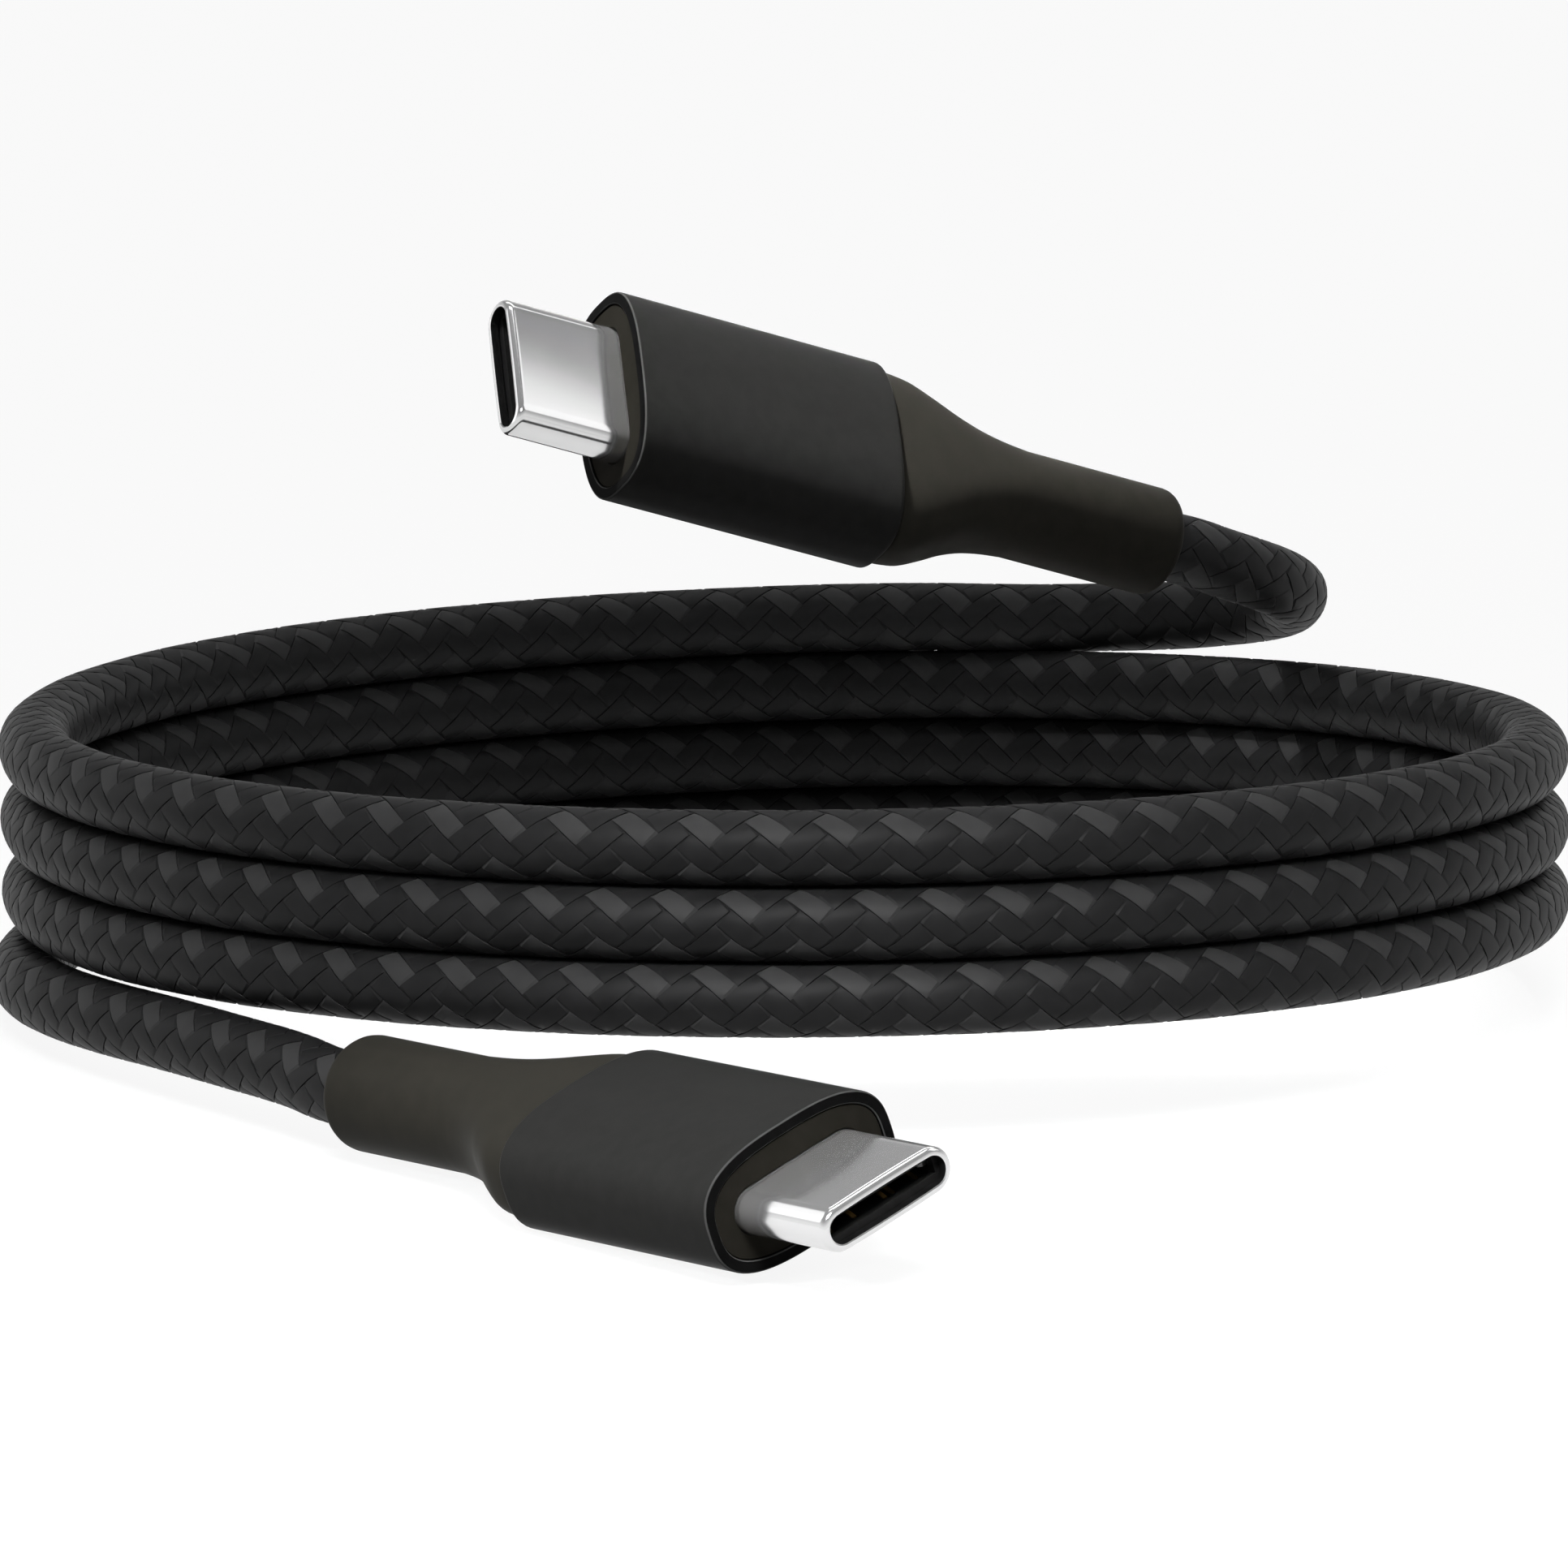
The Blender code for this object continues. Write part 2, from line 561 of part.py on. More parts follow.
def strain_relief(plug, name):
    """The soft boot: an oval flare that narrows to a round tube with a rounded end."""
    wide = HOUSING_WIDTH - 2.0 * BOOT_STEP
    high = HOUSING_HEIGHT - 2.0 * BOOT_STEP
    tube_size = BOOT_TUBE_DIAMETER
    flare = min(BOOT_FLARE_LENGTH, BOOT_FLARE_MOST * BOOT_LENGTH)
    rings = []
    for share, left, power in BOOT_FLARE:
        edge = BOOT_EDGE_SHARE * BOOT_STEP if share == 0.0 else 0.0
        width = tube_size + (wide - tube_size) * left - 2.0 * edge
        fall = max(0.0, (share - 0.5) / 0.5)
        height = high + (tube_size - high) * fall - 2.0 * edge
        rings.append((boot_front - share * flare, oval(width, height, power)))
    for turn in BOOT_ROUND_STEPS:
        angle = math.radians(turn)
        x = boot_end + BOOT_END_ROUND * (1.0 - math.sin(angle))
        size = tube_size - 2.0 * BOOT_END_ROUND * (1.0 - math.cos(angle))
        rings.append((x, oval(size, size, 2.0)))
    bore = 2.0 * (jacket_radius + BOOT_BORE_GAP)
    rings.append((boot_end, oval(bore, bore, 2.0)))
    rings.append((boot_front, oval(bore, bore, 2.0)))
    return loft(name, rings, SOFT_BLACK, plug, hollow=True)


# ---------------------------------------------------------------- plug: circuit
def circuit_board(plug, name):
    """The board whose front edge lies between the two rows of contact tails."""
    half, thick = BOARD_WIDTH / 2.0, BOARD_THICKNESS / 2.0
    return block(name, (board_back, -half, -thick), (board_front, half, thick), BOARD_GREEN, plug)


def marker_chip(plug, name):
    """The chip that tells the charger what the cable carries."""
    middle = (board_front + board_back) / 2.0
    half, base = CHIP_SIDE / 2.0, BOARD_THICKNESS / 2.0 + PART_GAP
    return block(name, (middle - half, -half, base), (middle + half, half, base + CHIP_HEIGHT),
                 CHIP_BLACK, plug)


def shield_can(plug, name):
    """The folded steel can round the board, its neck round the tail of the metal nose."""
    body_width = housing_inner_width - 2.0 * CAN_CLEARANCE
    body_height = housing_inner_height - 2.0 * CAN_CLEARANCE
    neck_width = SHELL_WIDTH + 2.0 * FIT
    neck_height = SHELL_HEIGHT + 2.0 * FIT
    front = -BEZEL_SETBACK - BEZEL_THICKNESS - SEAT_GAP
    neck = max(front - CAN_NECK_LENGTH, -SHELL_TAIL + FIT)
    shoulder = neck - CAN_SHOULDER_LENGTH
    rear = board_back - CAN_REAR_SPACE

    def body(inset):
        return oval(body_width - 2.0 * inset, body_height - 2.0 * inset, HOUSING_POWER)

    def collar(outset):
        return slot_outline(neck_width + 2.0 * outset, neck_height + 2.0 * outset)
    return loft(name, [
        (rear, body(0.0)), (shoulder, body(0.0)), (neck, collar(CAN_WALL)),
        (front, collar(CAN_WALL)), (front, collar(0.0)), (neck, collar(0.0)),
        (shoulder - CAN_WALL, body(CAN_WALL)), (rear, body(CAN_WALL)),
    ], SPRING_STEEL, plug, hollow=True)


def crimp_ferrule(plug, name):
    """The metal sleeve crimped round the cable's end."""
    front = cable_cut - FERRULE_SETBACK
    inner = 2.0 * (jacket_radius + FERRULE_GAP)
    outer = 2.0 * ferrule_radius
    rings = [(front - FERRULE_LENGTH, outer), (front, outer), (front, inner),
             (front - FERRULE_LENGTH, inner)]
    return loft(name, [(x, oval(size, size, 2.0, 24)) for x, size in rings], SPRING_STEEL, plug,
                hollow=True)


def conductor(plug, name, colour):
    """One insulated wire from the cable's cut end to its pad on the board."""
    radius, (y_end, z_end), y_pad, side = CONDUCTORS[colour]
    z_pad = side * (BOARD_THICKNESS / 2.0 + PART_GAP + radius)
    start, landing = cable_cut + WIRE_GAP, board_back + WIRE_LANDING
    points = []
    steps = 8
    for i in range(steps + 1):
        share = i / steps
        ease = share * share * (3.0 - 2.0 * share)
        points.append((start + (board_back - start) * share,
                       y_end + (y_pad - y_end) * ease, z_end + (z_pad - z_end) * ease))
    points.append((landing, y_pad, z_pad))
    return tube(name, points, radius, WIRE_COLOURS[colour], plug)


def build_plug(name, place, angles, with_chip):
    """Every piece of one plug, hung on an empty that carries it to its place."""
    plug = empty(f"{name}_frame", place, angles=angles)
    metal_shell(plug, f"{name}_metal_shell")
    front_insulator(plug, f"{name}_front_insulator")
    contact_carrier(plug, f"{name}_contact_carrier")
    for side, row in contact_rows():
        label = "upper" if side > 0 else "lower"
        hinge = (-CONTACT_TAIL, 0.0, side * CONTACT_HEIGHT)
        holder = empty(f"{name}_{label}_contacts_hinge", hinge, plug)
        for contact_name, position in row.items():
            contact(holder, f"{name}_contact_{contact_name}", side, position)
        ground_spring(plug, f"{name}_ground_spring_{label}", side)
    for side, label in ((1, "left"), (-1, "right")):
        hinge = (insulator_back + LATCH_ROOT, side * (LATCH_INNER + LATCH_WIDTH / 2.0), 0.0)
        holder = empty(f"{name}_latch_{label}_hinge", hinge, plug)
        latch_arm(holder, f"{name}_latch_{label}", side)
    housing(plug, f"{name}_housing")
    front_bezel(plug, f"{name}_front_bezel")
    inner_mould(plug, f"{name}_inner_mould")
    strain_relief(plug, f"{name}_strain_relief")
    circuit_board(plug, f"{name}_circuit_board")
    if with_chip:
        marker_chip(plug, f"{name}_marker_chip")
    shield_can(plug, f"{name}_shield_can")
    crimp_ferrule(plug, f"{name}_crimp_ferrule")
    for colour in CONDUCTORS:
        conductor(plug, f"{name}_{colour}", colour)
    held = [(boot_end + FIT, 0.0, 0.0), ((boot_end + cable_cut) / 2.0, 0.0, 0.0),
            (cable_cut, 0.0, 0.0)]
    tube(f"{name}_cable_end", held, jacket_radius, BRAID, plug)


# ---------------------------------------------------------------- cable
def coil_frame():
    """The coil's own frame: its centre, leaning back and to the left."""
    lean = Euler((math.radians(-COIL_LEAN_BACK_DEG), math.radians(-COIL_LEAN_LEFT_DEG), 0.0))
    return Matrix.Translation(COIL_CENTRE) @ lean.to_matrix().to_4x4()


def coil_place(degrees):
    """A point of the coil's centre line, falling one pitch in each turn."""
    angle = math.radians(90.0 + degrees)
    height = COIL_FIRST_HEIGHT - COIL_PITCH * degrees / 360.0
    local = Vector((COIL_RADIUS * math.cos(angle), COIL_RADIUS * math.sin(angle), height))
    return coil_frame() @ local


def coil_heading(degrees):
    """The direction that the coil's centre line runs in."""
    return (coil_place(degrees + 0.5) - coil_place(degrees - 0.5)).normalized()


def coil_points():
    """The coil's points, with a straight end of one diameter at the start and the finish."""
    steps = round((COIL_END_DEG - COIL_START_DEG) / 360.0 * COIL_LOOP_POINTS)
    turns = [COIL_START_DEG + (COIL_END_DEG - COIL_START_DEG) * i / steps
             for i in range(steps + 1)]
    start = coil_place(COIL_START_DEG) - coil_heading(COIL_START_DEG) * JACKET_DIAMETER
    finish = coil_place(COIL_END_DEG) + coil_heading(COIL_END_DEG) * JACKET_DIAMETER
    return [start] + [coil_place(turn) for turn in turns] + [finish]


def least_gap(points):
    """The least gap of the coil to itself, from each point to each run half a turn or more on."""
    nearest = math.inf
    half_loop = round(COIL_LOOP_POINTS / 2)
    for i, point in enumerate(points):
        later = points[i + half_loop:]
        for a, b in zip(later, later[1:]):
            share = intersect_point_line(point, a, b)[1]
            foot = a.lerp(b, min(max(share, 0.0), 1.0))
            nearest = min(nearest, (point - foot).length)
    return nearest - JACKET_DIAMETER


def smooth_route(route, spacing):
    """Points at even spacing along a Catmull-Rom curve through the route's points."""
    points = [2.0 * route[0] - route[1]] + route + [2.0 * route[-1] - route[-2]]
    fine = []
    for a, b, c, d in zip(points, points[1:], points[2:], points[3:]):
        for i in range(20):
            t = i / 20.0
            fine.append(0.5 * (2.0 * b + (c - a) * t + (2.0 * a - 5.0 * b + 4.0 * c - d) * t ** 2
                               + (3.0 * b - a - 3.0 * c + d) * t ** 3))
    fine.append(route[-1])
    lengths = [0.0]
    for near, far in zip(fine, fine[1:]):
        lengths.append(lengths[-1] + (far - near).length)
    count = max(2, round(lengths[-1] / spacing))
    even, index = [], 0
    for step in range(count + 1):
        target = lengths[-1] * step / count
        while index < len(fine) - 2 and lengths[index + 1] < target:
            index += 1
        share = (target - lengths[index]) / (lengths[index + 1] - lengths[index])
        even.append(fine[index].lerp(fine[index + 1], share))
    return even


def lead(name, place, angles, route, coil_end, coil_way):
    """A free stretch of cable, from a plug's strain relief to one end of the coil."""
    turn = Euler([math.radians(a) for a in angles]).to_matrix()
    plug_way = turn @ Vector((-1.0, 0.0, 0.0))
    exit_point = place + turn @ Vector((boot_end - END_GAP, 0.0, 0.0))
    meet = coil_end + coil_way * END_GAP
    points = [exit_point, exit_point + plug_way * LEAD_STRAIGHT]
    points += [Vector(point) * MM for point in route]
    points += [meet + coil_way * LEAD_STRAIGHT, meet]
    tube(name, smooth_route(points, LEAD_SPACING), jacket_radius, BRAID)


build_plug("upper_plug", UPPER_PLUG_PLACE, UPPER_PLUG_ANGLES, with_chip=True)
build_plug("lower_plug", LOWER_PLUG_PLACE, LOWER_PLUG_ANGLES, with_chip=False)
coil_line = coil_points()
tube("cable_coil", coil_line, jacket_radius, BRAID, resolution=1)
lead("upper_cable_lead", UPPER_PLUG_PLACE, UPPER_PLUG_ANGLES, UPPER_LEAD_ROUTE,
     coil_line[0], -coil_heading(COIL_START_DEG))
lead("lower_cable_lead", LOWER_PLUG_PLACE, LOWER_PLUG_ANGLES, LOWER_LEAD_ROUTE,
     coil_line[-1], coil_heading(COIL_END_DEG))
print(f"coil: least gap to itself {least_gap(coil_line) / MM:.3f} mm")
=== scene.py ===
"""A coiled charging cable in a woven sleeve, with a slim metal-nosed plug at each end."""
import math

import bmesh
import bpy
from mathutils import Euler, Matrix, Vector


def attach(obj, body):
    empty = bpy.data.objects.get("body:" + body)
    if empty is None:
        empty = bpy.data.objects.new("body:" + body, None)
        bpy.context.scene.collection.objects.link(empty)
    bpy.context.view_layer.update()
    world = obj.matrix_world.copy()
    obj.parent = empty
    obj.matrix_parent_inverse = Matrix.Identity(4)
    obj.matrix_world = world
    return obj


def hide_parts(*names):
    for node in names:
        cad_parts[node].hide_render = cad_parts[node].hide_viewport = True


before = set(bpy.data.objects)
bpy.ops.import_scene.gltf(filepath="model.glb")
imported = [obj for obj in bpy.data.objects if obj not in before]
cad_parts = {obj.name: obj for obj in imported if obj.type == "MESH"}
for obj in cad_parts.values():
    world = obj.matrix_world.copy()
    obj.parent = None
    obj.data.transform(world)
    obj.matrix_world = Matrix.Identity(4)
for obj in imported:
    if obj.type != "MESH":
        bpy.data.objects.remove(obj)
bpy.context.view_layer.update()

# ------------------------------------------------------------------ the camera
# A long lens in front of the coil, ten degrees above it, as the picture was taken.
MM = 0.001
CAMERA_PLACE = Vector((-1.93, -644.57, 132.71)) * MM
CAMERA_LOOK = Vector((0.00314, 0.98364, -0.18012)).normalized()
CAMERA_RIGHT = Vector((0.99999, -0.00332, -0.00067)).normalized()
LENS, SENSOR = 292.1, 36.0      # both in millimetres
camera_data = bpy.data.cameras.new("photo_camera")
camera_data.lens = LENS
camera_data.sensor_width = SENSOR
camera_data.clip_start = 0.01
camera_data.clip_end = 20.0
camera = bpy.data.objects.new("photo_camera", camera_data)
bpy.context.scene.collection.objects.link(camera)
camera_above = CAMERA_RIGHT.cross(CAMERA_LOOK).normalized()
camera.matrix_world = Matrix.Translation(CAMERA_PLACE) @ Matrix(
    (CAMERA_RIGHT, camera_above, -CAMERA_LOOK)).transposed().to_4x4()
bpy.context.scene.camera = camera
bpy.context.scene.view_settings.view_transform = "Standard"

# ------------------------------------------------------------------ the cable's line
# One round cable from plug to plug: out of the upper plug, round a tight turn, three and a
# quarter turns of coil falling one cable's width each, and a short free stretch to the other.
COIL_RADIUS = 39.5 * MM
COIL_PITCH = 3.82 * MM
COIL_START, COIL_END = -10.0, 1165.0        # degrees from the back, the way it winds
COIL_FIRST_HEIGHT = 4.0 * MM
COIL_POINTS = 79
COIL_FRAME = Matrix.Translation(Vector((0.2, 17.3, 11.5)) * MM) @ Euler(
    (math.radians(-2.75), math.radians(-1.0), 0.0)).to_matrix().to_4x4()
UPPER_ROUTE = [
    (23.9, 37.9, 20.0), (26.3, 40.5, 18.8), (27.8, 43.5, 17.7), (28.3, 46.8, 16.6),
    (27.6, 50.0, 15.6), (25.3, 52.6, 14.8), (22.1, 54.1, 14.3), (18.4, 54.7, 14.1),
    (14.8, 55.0, 14.0),
]
LOWER_ROUTE = [
    (-24.4, -18.2, 3.4), (-27.9, -13.3, 3.4), (-31.4, -8.2, 3.3), (-34.8, -3.0, 3.1),
    (-37.6, 2.4, 2.9), (-39.2, 7.6, 2.7), (-39.7, 12.6, 2.5),
]
# Each plug's own frame: +X out of its mouth, Y across it, Z through it, X = 0 at its rim.
PLUGS = {
    "upper_plug": Matrix.Translation(Vector((-9.0, 20.0, 31.9)) * MM) @ Euler(
        [math.radians(a) for a in (130.0, -17.5, -151.8)]).to_matrix().to_4x4(),
    "lower_plug": Matrix.Translation(Vector((0.8, -50.9, 4.7)) * MM) @ Euler(
        [math.radians(a) for a in (20.1, -2.2, -52.0)]).to_matrix().to_4x4(),
}
CABLE_CUT = -12.0 * MM          # where the cable ends inside each plug
BOOT_END = -35.2 * MM
STRAIGHT_PAST_BOOT = 2.6 * MM


def coil_place(degrees):
    """A point of the coil's centre line."""
    turn = math.radians(90.0 + degrees)
    return COIL_FRAME @ Vector((COIL_RADIUS * math.cos(turn), COIL_RADIUS * math.sin(turn),
                                COIL_FIRST_HEIGHT - COIL_PITCH * degrees / 360.0))


def plug_line(plug):
    """The cable's points inside a plug, from its cut end to just outside the strain relief."""
    return [PLUGS[plug] @ Vector((x, 0.0, 0.0))
            for x in (CABLE_CUT, 0.5 * (CABLE_CUT + BOOT_END), BOOT_END,
                      BOOT_END - STRAIGHT_PAST_BOOT)]


cable_points = plug_line("upper_plug")
cable_points += [Vector(point) * MM for point in UPPER_ROUTE]
points_before_coil = len(cable_points)
cable_points += [coil_place(COIL_START + (COIL_END - COIL_START) * i / (COIL_POINTS - 1))
                 for i in range(COIL_POINTS)]
cable_points += [Vector(point) * MM for point in reversed(LOWER_ROUTE)]
cable_points += reversed(plug_line("lower_plug"))

# A smooth curve through those points guides the core and the sleeve.
guide = bpy.data.curves.new("cable_guide", "CURVE")
guide.dimensions = "3D"
guide.twist_mode = "Z_UP"
guide.resolution_u = 6
spline = guide.splines.new("BEZIER")
spline.bezier_points.add(len(cable_points) - 1)
for knot, place in zip(spline.bezier_points, cable_points):
    knot.co = place
    knot.handle_left_type = knot.handle_right_type = "AUTO"
guide_object = bpy.data.objects.new("cable_guide", guide)
bpy.context.scene.collection.objects.link(guide_object)
core_line = [Vector(vert.co) for vert in bpy.data.meshes.new_from_object(guide_object).vertices]
cable_length = spline.calc_length()
to_coil = cable_points[:points_before_coil + 1]
lead_length = sum((b - a).length for a, b in zip(to_coil, to_coil[1:]))

# ------------------------------------------------------------------ the core
# The cable's black inner jacket, an extruded tube that shows only between the yarns. Where one
# turn rests on the next it is squeezed down against it. It runs on into both plugs.
BODY = "cable_and_plugs"
CORE_RADIUS = 1.74 * MM
CORE_SQUEEZED = 2.06 * MM
SQUEEZED_FROM = 0.97            # how far down the jacket's side, 0 at the middle and 1 below
CORE_STEPS = 24
CORE_RING_SPACING = 1.5 * MM
core_rings = round(cable_length / CORE_RING_SPACING)
turns_length = 2.0 * math.pi * COIL_RADIUS * (COIL_END - COIL_START - 360.0) / 360.0


def new_piece(name, mesh):
    """An object at the origin for a finished mesh, riding on the cable."""
    piece = bpy.data.objects.new(name, mesh)
    bpy.context.scene.collection.objects.link(piece)
    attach(piece, BODY)
    return piece


def mapped_grid(bm, along, around, place):
    """A grid of faces whose points go where place(share along, step around) says."""
    grid = bmesh.ops.create_grid(bm, x_segments=along, y_segments=around, size=1.0,
                                 calc_uvs=True)
    for vert in grid["verts"]:
        vert.co = place((vert.co.x + 1.0) / 2.0, round((vert.co.y + 1.0) / 2.0 * around))


def laid_on_cable(name, mesh, cells=1, cell_length=0.0):
    """A straight mesh, repeated if asked, bent along the cable's line as a finished piece."""
    straight = bpy.data.objects.new(name, mesh)
    bpy.context.scene.collection.objects.link(straight)
    if cells > 1:
        row = straight.modifiers.new("row", "ARRAY")
        row.count = cells
        row.use_relative_offset = False
        row.use_constant_offset = True
        row.constant_offset_displace = (cell_length, 0.0, 0.0)
        row.use_merge_vertices = True
        row.merge_threshold = 0.002 * MM
    laid = straight.modifiers.new("laid", "CURVE")
    laid.object = guide_object
    laid.deform_axis = "POS_X"
    bent = bpy.data.meshes.new_from_object(
        straight.evaluated_get(bpy.context.evaluated_depsgraph_get()))
    bent.name = name
    bpy.data.objects.remove(straight)
    return new_piece(name, bent)


def core_place(share, step):
    """A point of the straight jacket; its underside is squeezed where a turn lies under it."""
    x = share * cable_length
    angle = 2.0 * math.pi * step / CORE_STEPS
    radius = CORE_RADIUS
    on_a_turn = lead_length < x < lead_length + turns_length
    if on_a_turn and -math.sin(angle) > SQUEEZED_FROM:
        radius = CORE_SQUEEZED
    return Vector((x, radius * math.cos(angle), radius * math.sin(angle)))


core_bm = bmesh.new()
mapped_grid(core_bm, core_rings, CORE_STEPS, core_place)
bmesh.ops.remove_doubles(core_bm, verts=core_bm.verts, dist=0.001 * MM)
bmesh.ops.holes_fill(core_bm, edges=core_bm.edges)
bmesh.ops.recalc_face_normals(core_bm, faces=core_bm.faces)
core_mesh = bpy.data.meshes.new("cable_core")
core_bm.to_mesh(core_mesh)
core_bm.free()
core_mesh.shade_smooth()
core = laid_on_cable("cable_core", core_mesh)


def surface(name, colour, roughness, metallic=0.0, specular=0.5):
    """A plain material, with its node tree and its shader node."""
    material = bpy.data.materials.new(name)
    material.use_nodes = True
    tree = material.node_tree
    shader = tree.nodes["Principled BSDF"]
    shader.inputs["Base Color"].default_value = (*colour, 1.0)
    shader.inputs["Roughness"].default_value = roughness
    shader.inputs["Metallic"].default_value = metallic
    shader.inputs["Specular IOR Level"].default_value = specular
    return material, tree, shader


def node(tree, kind, **settings):
    """A new node with its properties set, and its sockets' values where in_ opens the key."""
    made = tree.nodes.new(kind)
    for key, value in settings.items():
        if key.startswith("in_"):
            made.inputs[key[3:].replace("_", " ")].default_value = value
        else:
            setattr(made, key, value)
    return made


def mottle(tree, shader, colours, roughness, scale):
    """Noise that runs a colour and a roughness between two values each."""
    where = node(tree, "ShaderNodeTexCoord")
    noise = node(tree, "ShaderNodeTexNoise", in_Scale=scale, in_Detail=3.0)
    tree.links.new(where.outputs["Object"], noise.inputs["Vector"])
    ramp = node(tree, "ShaderNodeValToRGB")
    ramp.color_ramp.elements[0].position, ramp.color_ramp.elements[1].position = 0.35, 0.65
    ramp.color_ramp.elements[0].color = (*colours[0], 1.0)
    ramp.color_ramp.elements[1].color = (*colours[1], 1.0)
    tree.links.new(noise.outputs["Fac"], ramp.inputs["Fac"])
    tree.links.new(ramp.outputs["Color"], shader.inputs["Base Color"])
    spread = node(tree, "ShaderNodeMapRange", in_To_Min=roughness[0], in_To_Max=roughness[1])
    tree.links.new(noise.outputs["Fac"], spread.inputs["Value"])
    tree.links.new(spread.outputs["Result"], shader.inputs["Roughness"])


core_black, tree, shader = surface("jacket_black", (0.006, 0.006, 0.006), 0.7, specular=0.05)
mottle(tree, shader, ((0.005, 0.005, 0.005), (0.008, 0.008, 0.008)), (0.6, 0.8), 900.0)
core.data.materials.append(core_black)
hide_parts("cable_coil", "upper_cable_lead", "lower_cable_lead",
            "upper_plug_cable_end", "lower_plug_cable_end")

# ------------------------------------------------------------------ the woven sleeve
# Sixteen flat nylon ribbons, eight each way, woven two over and two under round the jacket.
# Every second ribbon of one way is dark grey and the rest are black.
RIBBONS_EACH_WAY = 8
RIBBON_TURN = 360.0 / RIBBONS_EACH_WAY  # degrees round the cable from one ribbon to the next
PERIOD = 3.25 * MM              # along the cable, from one float to the next
RIBBON_WIDTH = 1.045 * MM
RIBBON_THICKNESS = 0.10 * MM
WEAVE_LIFT = 0.060 * MM         # how far a ribbon rises over and dives under the others
SLEEVE_RADIUS = 1.79 * MM       # to the ribbons' middle
FLOAT_TURN = 54.95              # degrees; puts a grey float 44 degrees up the outside
TURN_RATE = 2.0 * RIBBON_TURN / PERIOD  # degrees that a ribbon winds for each metre of cable
SLANT = math.atan(math.radians(TURN_RATE) * SLEEVE_RADIUS)
# A ribbon's section: shares of its width and thickness, over the top and back underneath.
RIBBON_SECTION = [(-0.5, -0.5), (-0.485, 0.4), (-0.44, 0.5), (0.0, 0.5), (0.44, 0.5),
                  (0.485, 0.4), (0.5, -0.5)]
# Where along one period its rings of points stand: close together where a ribbon dives.
RIBBON_STATIONS = [0.0, 0.12, 0.24, 0.350, 0.400, 0.50, 0.625, 0.75, 0.850, 0.900, 1.0]
DIVE_LENGTH = 0.2               # of a crossing
RIBBON_SHARP = 22.0             # degrees; edges sharper than this stay sharp


def ribbon_place(number, way):
    """The shape of one period of one ribbon; way is -1 for falling and +1 for rising."""
    def place(share, step):
        across, rise = RIBBON_SECTION[step % len(RIBBON_SECTION)]
        across *= RIBBON_WIDTH
        share = RIBBON_STATIONS[round(share * (len(RIBBON_STATIONS) - 1))]
        x = share * PERIOD - way * across * math.sin(SLANT)
        turn = (RIBBON_TURN * number + way * TURN_RATE * share * PERIOD
                + math.degrees(across * math.cos(SLANT) / SLEEVE_RADIUS))
        # Crossings passed since the middle of a float, which spans two of every four.
        if way < 0:
            crossing = number - (turn - TURN_RATE * x) / RIBBON_TURN - 0.5
        else:
            crossing = (turn + TURN_RATE * x) / RIBBON_TURN - number - 2.5
        away = abs((crossing + 2.0) % 4.0 - 2.0)
        lift = max(-1.0, min(1.0, (1.0 - away) / (0.5 * DIVE_LENGTH)))
        radius = SLEEVE_RADIUS + lift * WEAVE_LIFT + rise * RIBBON_THICKNESS
        angle = math.radians(turn + FLOAT_TURN)
        return Vector((x, -radius * math.cos(angle), radius * math.sin(angle)))
    return place


def yarn(name, colours):
    """Satin nylon: fine filaments along the ribbon, and a soft unevenness."""
    material, tree, shader = surface(name, colours[0], 0.5, specular=0.12)
    mottle(tree, shader, colours, (0.47, 0.57), 700.0)
    where = node(tree, "ShaderNodeTexCoord")
    stretch = node(tree, "ShaderNodeMapping")
    stretch.inputs["Scale"].default_value = (1.5, 40.0, 1.0)
    tree.links.new(where.outputs["UV"], stretch.inputs["Vector"])
    filaments = node(tree, "ShaderNodeTexNoise", in_Scale=1.0, in_Detail=2.0)
    tree.links.new(stretch.outputs["Vector"], filaments.inputs["Vector"])
    bump = node(tree, "ShaderNodeBump", in_Strength=0.12, in_Distance=0.00002)
    tree.links.new(filaments.outputs["Fac"], bump.inputs["Height"])
    tree.links.new(bump.outputs["Normal"], shader.inputs["Normal"])
    return material


grey_yarn = yarn("dark_grey_nylon", ((0.033, 0.033, 0.0335), (0.041, 0.041, 0.0415)))
black_yarn = yarn("black_nylon", ((0.0115, 0.0115, 0.0118), (0.015, 0.015, 0.0154)))

cell_bm = bmesh.new()
cell_bm.loops.layers.uv.new("ribbon")
for way in (-1, 1):
    for number in range(RIBBONS_EACH_WAY):
        before = set(cell_bm.faces)
        mapped_grid(cell_bm, len(RIBBON_STATIONS) - 1, len(RIBBON_SECTION),
                    ribbon_place(number, way))
        grey = way < 0 and number % 2 == 0
        for face in set(cell_bm.faces) - before:
            face.material_index = 0 if grey else 1
            face.smooth = True
bmesh.ops.remove_doubles(cell_bm, verts=cell_bm.verts, dist=0.001 * MM)
bmesh.ops.recalc_face_normals(cell_bm, faces=cell_bm.faces)
cell = bpy.data.meshes.new("braid_cell")
cell_bm.to_mesh(cell)
cell_bm.free()
cell.materials.append(grey_yarn)
cell.materials.append(black_yarn)

